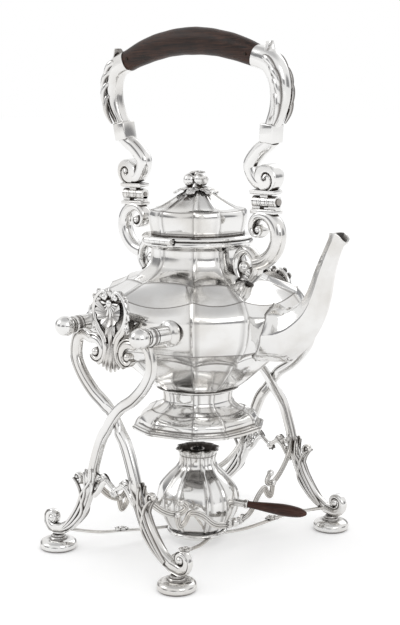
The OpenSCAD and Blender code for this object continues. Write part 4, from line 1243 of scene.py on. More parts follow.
@dataclass
class Lid:
    """The lid: a panelled dome and its finial of leaves and fruits."""

    lid_z: float = 236.2
    lid_r: float = 37.0
    lid_h: float = 31.5
    wall: float = 1.4
    silver: Silver = PLAIN
    chased: Silver = CHASED

    def build_dome(self, shop: Workshop) -> None:
        """Builds the dome: an upright band with a crease, and a slope of flat facets."""
        at = lambda r, z, sag, puff: (r * self.lid_r, z * self.lid_h + self.lid_z, 1, sag, puff)
        curves = [
            [at(0.945, 0, 0, 0), at(0.952, 0.035, 0, 0), at(0.955, 0.07, 0, 0)],
            [at(0.955, 0.07, 0, 0), at(0.99, 0.28, 0, 0.3), at(1, 0.44, 0, 0.4),
             at(0.985, 0.54, 0.4, 0.2), at(0.955, 0.59, 0.9, 0)],
            [at(0.955, 0.59, 0.9, 0), at(0.80, 0.64, 0.5, -0.5), at(0.56, 0.79, 0, -0.7),
             at(0.37, 0.93, 0, -0.4), at(0.24, 1.0, 0, 0)]]
        shell = PanelledShell("lid_dome_panels", Body.LID, self.silver, ["lid_dome"], steps=6)
        outer = shell.rows(curves, 0.55)
        inner = inner_rows(outer, self.wall, self.lid_z)
        z = self.lid_z + self.lid_h
        rows = [*outer, plain_row(5.0, z + 0.15, 0), plain_row(1.7, z + 0.2, 0),
                plain_row(1.7, z - self.wall, 0), *inner]
        # Painted shade over the inside of the dome.
        shell.build(shop, rows, [0.0] * (len(outer) + 3) + [0.25] * len(inner), shut=True)

    def build_finial(self, shop: Workshop) -> None:
        """Builds the skirt of pointed leaves, and the fruits with their stalks and leaves."""
        z = self.lid_z + self.lid_h
        skirt = Shape()
        pointed = lambda t: math.sin(math.pi * mix(0.16, 0.97, t)) ** 0.8
        for k in range(6):
            a = math.radians(60 * k - 12)
            out = Vector((math.cos(a), math.sin(a), 0))
            l = 18.0 if k % 2 == 0 else 15.5
            spine = [out * 2.0 + Vector((0, 0, z + 1.2)), out * 0.35 * l + Vector((0, 0, z + 2.5)),
                     out * 0.66 * l + Vector((0, 0, z + 1.4)), out * 0.88 * l
                     + Vector((0, 0, z - 0.6)), out * l + Vector((0, 0, z - 1.6))]
            Leaf(9.6, 3, 0.9, 0.26, 0.9, 0.36, 0.6, pointed).add(skirt, spine, out * 0.2
                                                                 + Vector((0, 0, 1)), 7)
        skirt.lathe([(0.2, z), (4.6, z), (5.0, z + 0.9), (4.6, z + 1.8), (0.2, z + 2.2)],
                    Matrix.Identity(4), 36)
        shop.piece("finial_leaf_skirt", skirt, Body.LID, self.chased, ["finial_leaves"])
        fruit = Shape()
        for share, turn, out, up in ((1.1, -150, 5.6, 7.9), (1.0, -25, 5.4, 8.6),
                                     (0.9, 80, 4.8, 7.6), (0.66, 0, 0.2, 12)):
            a = math.radians(turn)
            centre = Vector((out * math.cos(a), out * math.sin(a), z + up))
            r = share * 4.7
            lean = Matrix.Rotation(math.radians(25), 4, "X") @ Matrix.Rotation(a, 4, "Z")
            tilt = Matrix.Translation(centre) @ lean
            rings, tone = [], []
            for i in range(17):
                b = math.pi * i / 16
                ring = []
                for j in range(32):
                    c = 2 * math.pi * j / 32
                    dent = 1 - 0.05 * bell(math.sin(c / 2), 0.16) * math.sin(b)
                    wide = r * dent * max(math.sin(b), 0.002)
                    spot = Vector((wide * math.cos(c), wide * math.sin(c), -r * math.cos(b)))
                    ring.append(tilt @ spot)
                    # Painted shade in the dent down each fruit.
                    tone.append(0.7 * bell(math.sin(c / 2), 0.10) * math.sin(b))
                rings.append(ring)
            fruit.rings(rings, line=tone)
        fruit.lathe([(0.2, z + 1.6), (5.2, z + 2.2), (4.6, z + 4.0), (3.6, z + 6.5),
                     (3.0, z + 8.0), (0.2, z + 8.6)],
                    Matrix.Identity(4), 36)
        for a, l, up in ((205, 15.0, 13.0), (20, 12.0, 11.8), (-70, 10.0, 11.2), (120, 10.0, 11.4)):
            b = math.radians(a)
            out = Vector((math.cos(b), math.sin(b), 0))
            start = Vector((0, 0, z + up)) - out * l * 0.38
            spine = [start + Vector((0, 0, 0.6)), start + out * 0.4 * l + Vector((0, 0, 1.4)),
                     start + out * 0.75 * l + Vector((0, 0, 0.2)), start + out * l
                     + Vector((0, 0, -2.4))]
            Leaf(5.6, 3, 0.5, 0.22, 0.7, 0.3, 0.8).add(fruit, spine, (0, 0, 1), 6)
        shop.piece("finial_fruit_cluster", fruit, Body.LID, self.chased, ["finial_fruits"])

    def build(self, shop: Workshop) -> None:
        """Builds the whole lid."""
        self.build_dome(shop)
        self.build_finial(shop)


@dataclass
class Bail:
    """The swing handle: two cast arms with leaves and rolled ends, and the wooden grip."""

    lean: float = 4.5
    bail_x: float = 66.0
    bail_z: float = 262.8
    grip_top: float = 385.8
    grip_t: float = 19.6
    grip_w: float = 17.0
    arm_t: float = 12.0
    hinge_l: float = 22.0
    chased: Silver = CHASED
    wood: Wood = Wood("grip_wood", 0.0)

    @property
    def leaned(self) -> Matrix:
        """The handle's lean about its hinges."""
        up = Matrix.Translation((0, 0, self.bail_z))
        return up @ Matrix.Rotation(math.radians(self.lean), 4, "X") @ up.inverted()

    def arm(self, kettle: Kettle) -> Shape:
        """One arm at +X, upright."""
        shape = Shape()
        c = (self.bail_x + 7.2, self.bail_z + 48.2)
        at = lambda x, z: (c[0] + x, c[1] + z)
        end = (63.5, self.grip_top - self.grip_t / 2 - 12.4)
        line = graded(curve([at(1, 4.6), at(6.8, 15), at(9.6, 26), at(8.6, 38), at(2.4, 48), end],
                            9), 4.8, 8.6, 8.0)
        section = []
        for a, b in soft_section(0.30, 32):
            hollow = 0.16 * bell(b, 0.42) if a < 0 else 0.0
            section.append((a + hollow, b))
        shape.sweep(flat_way(line, self.arm_t / 2 - 0.6, self.arm_t / 2 + 1.6), SIDE_Y, section)
        turn = Matrix.Rotation(math.radians(8), 4, "Y")
        shape.block(Vector((c[0], 0, c[1])), (self.arm_t - 0.4, self.arm_t + 0.8, 13.2), 0.9, turn)
        eye = (self.bail_x + 3.8, self.bail_z + 17.2)
        on = lambda x, z: (eye[0] + x, eye[1] + z)
        low = graded(curve([at(1, -4.6), at(-4.2, -8.4), at(-11, -12.6), on(-15.4, 10),
                            on(-14.6, 3), on(-9.8, -3.2), on(-3.6, -4.6)], 8), 4.6, 6.6, 4.2)
        shape.sweep(flat_way(low, self.arm_t / 2 - 0.2, self.arm_t / 2 - 0.6), SIDE_Y,
                    soft_section(0.35, 28))
        coil_face(shape, Vector((eye[0], 0, eye[1])), SIDE_Y, 9.6, self.arm_t - 0.6, 250, 1)
        plate = kettle.hinge_plate(shape, 1)
        third = self.hinge_l / 6
        kettle.hinge_barrel(shape, self.bail_x - third + 0.1, self.bail_x + third - 0.1)
        shape.block(Vector((self.bail_x, 0, plate - 1.6)), (2 * third - 0.2, 5.2, 5.0), 0.3)
        return shape

    def arm_leaf(self, to: Shape) -> None:
        """Adds the acanthus that climbs the outside of the arm, with flutes over both faces."""
        c = (self.bail_x + 7.2, self.bail_z + 48.2)
        at = lambda x, z, y=0.0: Vector((c[0] + x, y, c[1] + z))
        spine = [at(6.4, 5), at(12.2, 15), at(15.6, 26), at(14.8, 38), at(10.0, 49),
                 at(5.2, 56.4), at(3.8, 62.4)]
        blunt = lambda t: math.sin(math.pi * mix(0.20, 0.95, t)) ** 0.5
        Leaf(15.4, 4, 0.9, 0.08, 2.2, 0.5, 5.2, blunt).add(to, spine, (1, 0, 0.35), 10)
        flutes = (((7.4, 6), (10.8, 12), (12.4, 18.6), (11.6, 24.4), (8.8, 27.6)),
                  ((12.2, 16), (14.2, 23), (13.8, 30), (11.0, 34.8), (7.8, 36.4)),
                  ((13.8, 26.6), (14.2, 34), (11.6, 40.6), (7.8, 44.0), (4.8, 44.2)),
                  ((11.6, 37.6), (9.8, 44.6), (6.0, 49.6), (2.4, 51.4), (-0.2, 50.8)))
        for side in (-1, 1):
            for path in flutes:
                line = graded(curve(path, 7), 0.5, 2.2, 3.4, 1.5)
                way = []
                for i, (x, z, w) in enumerate(line):
                    lift = self.arm_t / 2 + 0.15 + math.sin(math.pi * i / (len(line) - 1))
                    thick = 0.6 + 1.1 * math.sin(math.pi * min(1, (i + 3) / len(line)))
                    way.append((Vector((c[0] + x, side * lift, c[1] + z)), w, thick))
                to.sweep(way, SIDE_Y, ROUND, EDGE_SHADE)

    def build(self, shop: Workshop, kettle: Kettle) -> None:
        """Builds both arms and the grip."""
        arm = self.arm(kettle)
        self.arm_leaf(arm)
        for name, shape in (("front", arm), ("back", arm.mirrored(FLIP_X))):
            shop.piece(f"bail_arm_{name}_cast", shape.moved(self.leaned), Body.BAIL, self.chased,
                       [f"bail_arm_{name}"])
        grip = Shape()
        rings = []
        for i in range(61):
            t = i / 30 - 1
            k = 1 - t * t
            bulge = 1 + 0.012 * math.sin(9 * t + 1.0) + 0.008 * math.sin(23 * t)
            rings.append((Vector((t * 63.5, 0, self.grip_top - self.grip_t / 2 - 12.4 * t * t)),
                          mix(7.9, self.grip_t / 2, k) * (bulge if k > 0.1 else 1),
                          mix(6.7, self.grip_w / 2, k)))
        grip.sweep(rings, SIDE_Y, soft_section(0.16, 40))
        highest = self.grip_top + 0.02
        grip.points = [Vector((p.x, p.y, min(p.z, highest))) for p in grip.points]
        shop.piece("bail_grip_wood", grip.moved(self.leaned), Body.BAIL, self.wood,
                   ["bail_grip"], "wood")


@dataclass
class Stand:
    """The stand: crossed scrolled legs, shell cartouches, foliate bridges, swags, rods and feet."""

    frame_y: float = 87.5
    frame_t: float = 6.0
    foot_x: float = 62.0
    cross_z: float = 110.0
    pin_x: float = 38.0
    pin_z: float = 174.0
    pin_r: float = 4.0
    leg_w: float = 8.6
    toe: Point = (66.6, 22.9)
    cartouche_y: float = -87.9
    silver: Silver = Silver(name="cast_silver", reach=0.0036, start=0.26, full=0.74, clouds=0.45)
    chased: Silver = CHASED
    # The reeds get a dimmer bright and more painted shade between them.
    reeds: Silver = Silver(name="reeded_silver", bright=(0.70, 0.69, 0.67), reach=0.0026,
                           start=0.10, full=0.42, clouds=0.8)

    @property
    def eye(self) -> Point:
        """Middle of the scroll at the top of a leg."""
        return 16.4, self.pin_z - 16.8

    def leg_way(self) -> list[Point]:
        """Way of the leg that starts in the top scroll at +X and ends in the toe at -X."""
        half = self.leg_w / 2
        top = scroll(self.eye, 4.2, 10.4, 330, 60, 0.42, half - 0.5, 44)
        run = graded(curve([
            (29, self.pin_z - 4.8), (36.2, self.pin_z - 9.6), (38.4, 151.5),
            (32.4, 139.4), (20.5, 127.5), (6.4, self.cross_z + 8), (-6.4, self.cross_z - 8),
            (-12.8, 93), (-19.2, 77), (-23.6, 62), (-27.4, 49.5), (-34.5, 36), (-45.5, 23.6),
            (-57, 16.4)], 7), half - 0.2, half + 0.1, half - 0.1)
        toe = [(-x, z, w) for x, z, w in scroll(self.toe, 8.2, 2.7, -100, 250, 0.5, half - 0.1, 56)]
        return top + run + toe

    def leg(self, over: bool) -> Shape:
        """One leg in its own plane; over tells if it passes outside the other at the crossing."""
        shape = Shape()
        section, tone = reeded_section()
        way = []
        for x, z, w in self.leg_way():
            apart = math.hypot(x, (z - self.cross_z))
            near = abs(x) < 16 and abs(z - self.cross_z) < 20
            share = 1 - max(0.0, min(1.0, (apart - 6.5) / 5.0)) if near else 0
            share = share * share * (3 - 2 * share)
            shift = (-0.9 if over else 1.2) * share
            thin = (0.8 if over else 1.1) * share
            way.append((Vector((x, shift, z)), w, self.frame_t / 2 - thin))
        shape.sweep(way, SIDE_Y, section, tone)
        turn = Matrix.Rotation(math.pi / 2, 4, "X")
        for x, z, r in ((-self.toe[0], self.toe[1], 3.3), (*self.eye, 3.2)):
            shape.ball(Vector((x, 0, z)), r, 28, (1, 1.28, 1))
        r0, r1, t = self.pin_r + 0.08, self.pin_r + 2.5, self.frame_t / 2
        profile = [(r0, -t), (r1 - 0.6, -t), (r1, -t + 0.6), (r1, -t + 1.6), (r1 - 0.4, -t + 2.0),
                   (r1 - 0.4, t - 2.0), (r1, t - 1.6), (r1, t - 0.6), (r1 - 0.6, t), (r0, t)]
        place = Matrix.Translation((self.pin_x, 0, self.pin_z)) @ turn
        # Painted shade in the waist of the boss round the pin.
        shape.lathe(profile, place, 48, True, line=[0, 0, 0, 0.2, 0.8, 0.8, 0.2, 0, 0, 0])
        return shape

    def leg_leaf(self) -> Shape:
        """The acanthus that wraps the lower leg at -X, with the curled knob on its outer side."""
        shape = Shape()
        tapered = lambda t: math.sin(math.pi * mix(0.06, 0.94, t)) ** 0.55
        for y in (-1, 1):
            out = y * (self.frame_t / 2 - 0.2)
            spine = [Vector((-53.0, out, 18.0)), Vector((-48.6, out * 1.1, 21.2)),
                     Vector((-41.4, out * 1.16, 28.0)), Vector((-34.0, out * 1.2, 38.0)),
                     Vector((-28.6, out * 1.2, 48.6)), Vector((-24.8, out * 1.1, 60.0))]
            for k, ends in enumerate((((-33.0, 50), (-36.6, 56.6), (-40.4, 59.8)),
                                      ((-27.6, 58), (-28.6, 66.4)), ((-21.4, 62), (-20.6, 70.0)))):
                line = []
                for i, p in enumerate(spine[:len(spine) - (2 if k == 0 else 1)]):
                    ahead = (spine[min(i + 1, 5)] - spine[max(i - 1, 0)]).normalized()
                    off = (k - 1) * -min(2.9, 0.8 + 0.9 * i)
                    line.append((p.x + ahead.z * off, p.z - ahead.x * off))
                line = graded(curve(line + list(ends), 8), 0.8, 1.9, 0.7)
                way = []
                for i, (x, z, w) in enumerate(line):
                    lift = out * (1.02 + 0.12 * math.sin(math.pi * i / len(line)))
                    way.append((Vector((x, lift, z)), w, 1.5))
                shape.sweep(way, SIDE_Y, ROUND, EDGE_SHADE)
            for x0, z0, x1, z1, w in ((-21.8, 60, -20.4, 72.5, 5.4), (-26.6, 55, -27.6, 69.0, 5.0)):
                Leaf(w, 2, 0.6, 0.22, 1.2, 0.4, 0.8, tapered).add(
                    shape, [Vector((x0 - 1.2, out * 0.95, z0 - 8)), Vector((x0, out * 1.1, z0)),
                            Vector((mix(x0, x1, 0.6), out * 1.12, mix(z0, z1, 0.6))),
                            Vector((x1, out * 0.85, z1))],
                    (0, y, 0), 5)
        knob = scroll((-38.2, 60.6), 4.4, 1.3, -60, 270, 0.42, 1.9, 36)
        shape.sweep(flat_way(knob, 2.7, 2.3), SIDE_Y, soft_section(0.1, 16))
        shape.ball(Vector((-38.2, 0, 60.6)), 1.9, 20, (1, 1.5, 1))
        return shape

    def shell(self, to: Shape) -> None:
        """Adds the fluted shell of nine lobes, which fans down from its hinge."""
        lobes, pitch, y0, z0 = 9, 21.5, -88.6, 193.4
        fine, rows = 12, 16
        rings: list[Ring] = []
        tone: list[float] = []
        for i in range(rows + 1):
            u = i / rows
            ring_front, ring_back = [], []
            for j in range(lobes * fine + 1):
                place = j / fine
                a = math.radians(-90 + pitch * (place - lobes / 2))
                reach = 11.6 + 4.8 * math.sin(math.pi * place / lobes)
                flute = abs(math.sin(math.pi * place))
                r = mix(2.2, reach * (0.86 + 0.14 * flute ** 0.6), u)
                bowl = -1.1 * math.sin(math.pi * min(1.0, u * 0.9))
                height = bowl + (0.35 + 1.3 * u) * (flute ** 0.8 - 0.45) + 1.3 * u ** 5
                x, z = r * math.cos(a), r * math.sin(a)
                ring_front.append(Vector((x, y0 - 1.9 - height, z0 + z)))
                ring_back.append(Vector((x * 0.98, y0 + 2.2, z0 + z * 0.98)))
                # Painted shade in the flutes, and over the shell's back.
                tone.append(0.95 * bell(flute, 0.16) * min(1, 0.5 + u))
            rings.append(ring_front + ring_back[::-1])
            tone += [0.6] * len(ring_back)
        to.rings(rings, line=tone)
        to.ball(Vector((0, y0 - 2.0, z0)), 2.6, 24, (1, 0.7, 1))

    def cartouche(self) -> Shape:
        """The cartouche of the near frame."""
        shape = Shape()
        blunt = lambda t: math.sin(math.pi * mix(0.22, 0.93, t)) ** 0.5
        y = self.cartouche_y
        self.shell(shape)
        plate = []
        for j in range(72):
            a = 2 * math.pi * j / 72
            c, s = math.cos(a), math.sin(a)
            wide = 15.6 + 1.5 * math.cos(2 * a) + 0.5 * math.cos(9 * a)
            plate.append((wide * c, 187.5 + 12.0 * s))
        stem = [(9.2, 178), (7.4, 171), (5.4, 163), (4.4, 156), (4.8, 150), (0, 146.4)]
        outline = stem + [(-x, z) for x, z in reversed(stem[:-1])]
        # The plates behind the ornament get painted shade.
        for edge, front, soot in ((plate, -88.0, 0.45), (outline, -88.2, 0.40)):
            shape.rings([[Vector((x, yy, z)) for x, z in edge] for yy in (front, -86.7)],
                        soot=[soot] * (2 * len(edge)))
        for s in (1, -1):
            upper = graded(curve([(4.6, 196.0), (3.2, 198.4), (4.6, 201.0), (8.4, 201.2),
                                  (13.0, 197.6), (15.9, 191.4), (15.4, 183.4), (11.6, 176.4),
                                  (6.8, 171.0), (4.2, 165.6)], 8), 1.2, 2.3, 1.3)
            shape.sweep(flat_way(handed(upper, s), 2.0, 2.3, y - 1.2), SIDE_Y,
                        soft_section(0.1, 16))
            shape.ball(Vector((s * 5.9, y - 1.8, 197.6)), 2.2, 24, (1, 0.75, 1))
            lower = graded(curve([(14.9, 181), (12.6, 174.4), (7.6, 168.6), (5.4, 161),
                                  (7.6, 153.4), (13, 149.4)], 8),
                           2.0, 2.4, 1.5)
            shape.sweep(flat_way(handed(lower, s), 2.3, 2.2, y - 0.9), SIDE_Y,
                        soft_section(0.1, 16))
            for k, (x0, z0, x1, z1, w) in enumerate(((13.0, 194, 17.2, 198.6, 6.6),
                                                     (8.8, 199.0, 11.8, 203.0, 6.4),
                                                     (16.0, 185, 18.2, 191.0, 6.0),
                                                     (15.0, 179, 17.4, 173.5, 5.6),
                                                     (4.4, 160, 8.2, 147.4, 4.6),
                                                     (2.2, 160, 4.2, 145.2, 4.2),
                                                     (2.4, 177, 6.0, 168.0, 3.6))):
                bend = 0.6 if k % 2 else -0.6
                path = [Vector((s * mix(x0, x1, t) + s * bend * math.sin(math.pi * t), y - 1.7 - 0.9
                                * math.sin(math.pi * t), mix(z0, z1, t)))
                                for t in (-0.35, 0.1, 0.55, 1.0)]
                Leaf(w, 1, 0.6, 0.05, 1.0, 0.3, 0.7, blunt).add(shape, path, (0, -1, 0), 6)
        for x, z0, z1, w in ((0, 199.4, 203.8, 5.6), (-5.2, 198, 202.6, 4.6),
                             (5.2, 198, 202.6, 4.6), (0, 162, 144.4, 5.0), (0, 178, 160, 4.6)):
            path = [Vector((x * (0.8 + 0.2 * t), y - 1.9 - math.sin(math.pi * t), mix(z0, z1, t)))
                    for t in (-0.4, 0.1, 0.55, 1.0)]
            Leaf(w, 1, 0.7, 0.05, 1.0, 0.35, 0.7, blunt).add(shape, path, (0, -1, 0), 6)
        return shape

    def bridge(self) -> Shape:
        """The foliate bridge of the near frame, about its own plane."""
        shape = Shape()
        for s in (1, -1):
            way = graded(curve([(0.4, 57.6), (4.4, 60.2), (8.6, 62.4), (13, 60), (18, 53.4),
                                (22.6, 49.4)], 8),
                         1.7, 2.1, 2.3)
            shape.sweep(flat_way(handed(way, s), 2.0, 2.0), SIDE_Y, soft_section(0.1, 18))
            for y in (-1, 1):
                for path in (((9.6, 60.6), (14.6, 63.4), (19.0, 63.8), (23.0, 61.8)),
                             ((14.0, 57.6), (18.6, 56.8), (22.0, 55.4), (25.0, 56.0)),
                             ((5.4, 60.0), (8.6, 64.4), (12.0, 65.8), (14.6, 64.8))):
                    spine = [Vector((s * x, y * (1.6 if i in (1, 2) else 1.0), z)) for i,
                             (x, z) in enumerate(path)]
                    Leaf(4.6, 2, 0.5, 0.2, 1.2, 0.3, 0.6).add(shape, spine, (0, y, 0), 5)
        shape.ball(Vector((0, 0, 57.4)), 3.0, 28, (1.0, 0.75, 1.0))
        for a in range(-60, 61, 40):
            b = math.radians(a - 90)
            path = [Vector((1.2 * math.cos(b), -1.6, 57.4 + 1.2 * math.sin(b))),
                    Vector((3.4 * math.cos(b), -2.2, 57.4 + 3.4 * math.sin(b))),
                    Vector((5.2 * math.cos(b), -1.4, 57.4 + 5.2 * math.sin(b)))]
            Leaf(2.8, 1, 0.5, 0.1, 0.9, 0.25).add(shape, path, (0, -1, 0), 5)
        return shape

    def pad(self) -> Shape:
        """A flattened bun foot with a ring round its neck, about its own axis."""
        shape = Shape()
        profile = [(0.2, 0.0), (11.6, 0.0), (12.6, 0.2), (13.5, 0.9), (14.05, 2.2), (14.2, 3.6),
                   (13.9, 5.1), (13.0, 6.4), (11.4, 7.3), (9.2, 7.9), (7.2, 8.0), (6.6, 7.9),
                   (6.3, 8.3), (6.5, 8.9), (6.1, 9.4), (5.2, 9.4), (4.8, 9.6), (4.8, 10.3),
                   (4.4, 11.0), (0.2, 11.1)]
        # Painted shade under the foot and in the grooves round its neck.
        tone = [0.3, 0.2] + [0.0] * 8 + [0.35, 0.95, 0.2, 0.0, 0.2, 0.9, 0.9, 0.2, 0.5, 0.5]
        shape.lathe(profile, Matrix.Identity(4), 80, line=tone)
        return shape

    def build_frames(self, shop: Workshop) -> None:
        """Builds both end frames with their feet."""
        at_near = Matrix.Translation((0, -self.frame_y, 0))
        leaf = self.leg_leaf()
        front = self.leg(True).moved(at_near)
        back = self.leg(False).moved(at_near).mirrored(FLIP_X)
        front_leaf = leaf.moved(at_near)
        back_leaf = front_leaf.mirrored(FLIP_X)
        face = self.cartouche()
        bridge = self.bridge().moved(Matrix.Translation((0, -self.frame_y + 1, 0)))
        for end, turn in (("near", lambda s: s), ("far", lambda s: s.mirrored(SIDE_Y))):
            for node, part, shape, kind, stands in (
                    ("leg_front", "reeded", front, self.silver, True),
                    ("leg_back", "reeded", back, self.silver, True),
                    ("leg_front", "acanthus", front_leaf, self.chased, False),
                    ("leg_back", "acanthus", back_leaf, self.chased, False),
                    ("cartouche", "shell", face, self.chased, True),
                    ("leg_bridge", "foliate", bridge, self.chased, True)):
                shop.piece(f"{node}_{end}_{part}", turn(shape), Body.STAND, kind,
                           [f"{node}_{end}"] if stands else ())
            for side, x in (("front", self.foot_x), ("back", -self.foot_x)):
                pad = self.pad().moved(Matrix.Translation((x, -self.frame_y, 0)))
                shop.piece(f"foot_pad_{side}_{end}_bun", turn(pad), Body.STAND, self.silver,
                           [f"foot_pad_{side}_{end}"])

    def build_bars(self, shop: Workshop) -> None:
        """Builds the reeded swags and rods, which follow their paths."""
        tree = BarTree().tree
        c = curve([(24.8, 83.9, 66), (25.4, 79, 55), (27.4, 67, 44), (29.8, 54, 38.6),
                   (31.4, 45.6, 41.8), (30.8, 49.4, 46.6)], 8)
        half = curve([(38, 0, 21.4), (37.4, 11, 21.6), (36, 21.4, 24.8),
                      (33.8, 32, 33.6), (31.8, 41.6, 37), (31, 46.8, 31.2), (30.4, 51.6, 29.4),
                      (30.2, 54, 37.4)], 8)
        long = [(x, -y, z) for x, y, z in reversed(half)] + half[1:]
        rod = curve([(self.foot_x - 5.5, 86.1, 16.5), (48, 78, 14.6),
                     (38, 66, 12.6), (33.4, 48, 10.4), (27, 26, 7.6), (19.7, 7.6, 7)], 8)
        for side, s in (("front", 1), ("back", -1)):
            paths = [[(s * x, y, z) for x, y, z in long]]
            paths += [[(s * x, e * y, z) for x, y, z in c] for e in (1, -1)]
            swag = self.bar(shop, tree, f"swag_{side}_reeds", paths, 3, 0.98, 1.55, (1, 0, 0))
            ends = Shape()
            for x, y, z, r in ((38, 0, 21.4, 3.6), (30.2, 54.2, 38.6, 2.7),
                               (30.2, -54.2, 38.6, 2.7), (30.6, 50.6, 47.2, 2.7),
                               (30.6, -50.6, 47.2, 2.7)):
                ends.ball(Vector((s * x, y, z)), r, 24)
            for y in (-1, 1):
                for k in range(3):
                    path = [Vector((s * 38.6, y * 1.0, 21.2 + k - 1)),
                            Vector((s * 39.4, y * 5.0, 22.2 + 2.2 * (k - 1))),
                            Vector((s * 38.8, y * 9.6, 22.6 + 2.8 * (k - 1)))]
                    Leaf(3.6, 2, 0.4, 0.2, 1.0, 0.3, 0.5).add(ends, path, (s, 0, 0), 5)
            shop.hand_over(swag, Body.STAND, "silver", [f"swag_{side}"])
            shop.piece(f"swag_{side}_knobs", ends, Body.STAND, self.chased)
            for end, e in (("near", -1), ("far", 1)):
                made = self.bar(shop, tree, f"stretcher_{side}_{end}_reeds",
                                [[(s * x, e * y, z) for x, y, z in rod]], 2, 1.05, 1.4, (0, 0, 1))
                shop.hand_over(made, Body.STAND, "silver", [f"stretcher_{side}_{end}"])
                knot = Shape()
                for k in range(5):
                    a = math.radians(72 * k + 20)
                    path = [Vector((33.6 + 0.6 * math.cos(a), 49 + 0.6 * math.sin(a), 11.8)),
                            Vector((33.6 + 3.0 * math.cos(a), 49 + 3.0 * math.sin(a), 13.0)),
                            Vector((33.6 + 5.6 * math.cos(a), 49 + 5.6 * math.sin(a), 11.6))]
                    Leaf(4.2, 2, 0.5, 0.2, 1.0, 0.3, 0.5).add(knot, path, (0, 0, 1), 5)
                knot.ball(Vector((33.6, 49, 12.2)), 2.0, 20)
                knot = knot if s > 0 else knot.mirrored(FLIP_X)
                knot = knot if e > 0 else knot.mirrored(SIDE_Y)
                shop.piece(f"stretcher_{side}_{end}_knot", knot, Body.STAND, self.chased)

    def bar(self, shop: Workshop, tree: Any, name: str,
            paths: Sequence[Sequence[Point]], reeds: int, radius: float, gap: float,
            face: Point) -> bpy.types.Object:
        """Builds one reeded bar.

        Args:
            shop: where it is dressed.
            tree: the Geometry Nodes tree that sweeps the reeds.
            name: the piece's name.
            paths: points of each path in millimetres.
            reeds: how many reeds lie side by side.
            radius: a reed's radius.
            gap: the distance between reeds.
            face: the direction that the row of reeds faces.

        Returns:
            The piece, with a plain mesh.
        """
        points, edges = [], []
        for path in paths:
            base = len(points)
            points += [in_metres(p) for p in path]
            edges += [(base + i, base + i + 1) for i in range(len(path) - 1)]
        line = bpy.data.meshes.new(name)
        line.from_pydata(points, edges, [])
        made = placed(name, line)
        nodes = made.modifiers.new("reeds", "NODES")
        nodes.node_group = tree
        set_input(nodes, "Finish", shop.finish(self.reeds))
        set_input(nodes, "Reeds", reeds)
        set_input(nodes, "Reed radius", radius * MM)
        set_input(nodes, "Gap", gap * MM)
        for axis, value in zip("XYZ", face):
            set_input(nodes, f"Face {axis}", float(value))
        applied(made)
        made.data.shade_smooth()
        return made

    def build(self, shop: Workshop) -> None:
        """Builds the whole stand."""
        self.build_frames(shop)
        self.build_bars(shop)


class BarTree(GeometryTree):
    """Sweeps a row of round reeds along a path; the row lies square to the way it faces."""

    def __init__(self) -> None:
        """Builds the tree."""
        super().__init__("reeded_bar", {"Reeds": 3, "Reed radius": 0.001, "Gap": 0.0015,
                                        "Face X": 1.0, "Face Y": 0.0, "Face Z": 0.0})
        path = self.node("GeometryNodeMeshToCurve", None, {0: self.entry.outputs[0]})
        face = self.node("ShaderNodeCombineXYZ", None,
                         {0: self.size("Face X"), 1: self.size("Face Y"),
                                                        2: self.size("Face Z")})
        tangent = self.node("GeometryNodeInputTangent")
        across = self.node("ShaderNodeVectorMath", {"operation": "CROSS_PRODUCT"},
                           {0: face.outputs[0], 1: tangent.outputs[0]})
        unit = self.node("ShaderNodeVectorMath", {"operation": "NORMALIZE"}, {0: across.outputs[0]})
        kept = self.node("GeometryNodeCaptureAttribute", None, {0: path.outputs[0]})
        kept.capture_items.new("VECTOR", "across")
        self.tree.links.new(unit.outputs[0], kept.inputs[1])
        copies = self.node("GeometryNodeDuplicateElements", {"domain": "SPLINE"},
                           {"Geometry": kept.outputs[0], "Amount": self.size("Reeds")})
        place = self.out(copies, "Duplicate Index") - (self.size("Reeds") - 1) / 2
        offset = self.node("ShaderNodeVectorMath", {"operation": "SCALE"},
                           {0: kept.outputs[1], "Scale": place * self.size("Gap")})
        moved = self.node("GeometryNodeSetPosition", None,
                          {"Geometry": copies.outputs[0], "Offset": offset.outputs[0]})
        ring = self.node("GeometryNodeCurvePrimitiveCircle", {"mode": "RADIUS"},
                         {"Resolution": 12, "Radius": self.size("Reed radius")})
        tube = self.node("GeometryNodeCurveToMesh", None, {"Curve": moved.outputs[0],
                                                           "Profile Curve": ring.outputs[0],
                                                           "Fill Caps": True})
        self.close(tube.outputs[0])


class WickTree(GeometryTree):
    """Twists strands of cotton round a core."""

    def __init__(self) -> None:
        """Builds the tree."""
        super().__init__("twisted_wick", {"Strands": 7, "Wick radius": 0.004,
                                          "Length": 0.06, "Twists": 2.2})
        strand = self.node("GeometryNodeCurveSpiral", None, {
            "Resolution": 40, "Rotations": self.size("Twists"),
            "Start Radius": self.size("Wick radius") * 0.62, "End Radius": self.size("Wick radius")
            * 0.62, "Height": self.size("Length"), "Reverse": False})
        ring = self.node("GeometryNodeCurvePrimitiveCircle", {"mode": "RADIUS"},
                         {"Resolution": 10, "Radius": self.size("Wick radius") * 0.375})
        tube = self.node("GeometryNodeCurveToMesh", None, {"Curve": strand.outputs[0],
                                                           "Profile Curve": ring.outputs[0],
                                                           "Fill Caps": True})
        spots = self.node("GeometryNodePoints", None, {"Count": self.size("Strands")})
        turn = self.out(self.node("GeometryNodeInputIndex"), 0) * (2
                                                                   * math.pi) / self.size("Strands")
        angle = self.node("ShaderNodeCombineXYZ", None, {2: turn})
        copies = self.node("GeometryNodeInstanceOnPoints", None, {
            "Points": spots.outputs[0], "Instance": tube.outputs[0], "Rotation": angle.outputs[0]})
        core = self.node("GeometryNodeJoinGeometry", None, {})
        self.tree.links.new(copies.outputs[0], core.inputs[0])
        self.tree.links.new(self.entry.outputs[0], core.inputs[0])
        self.close(core.outputs[0])


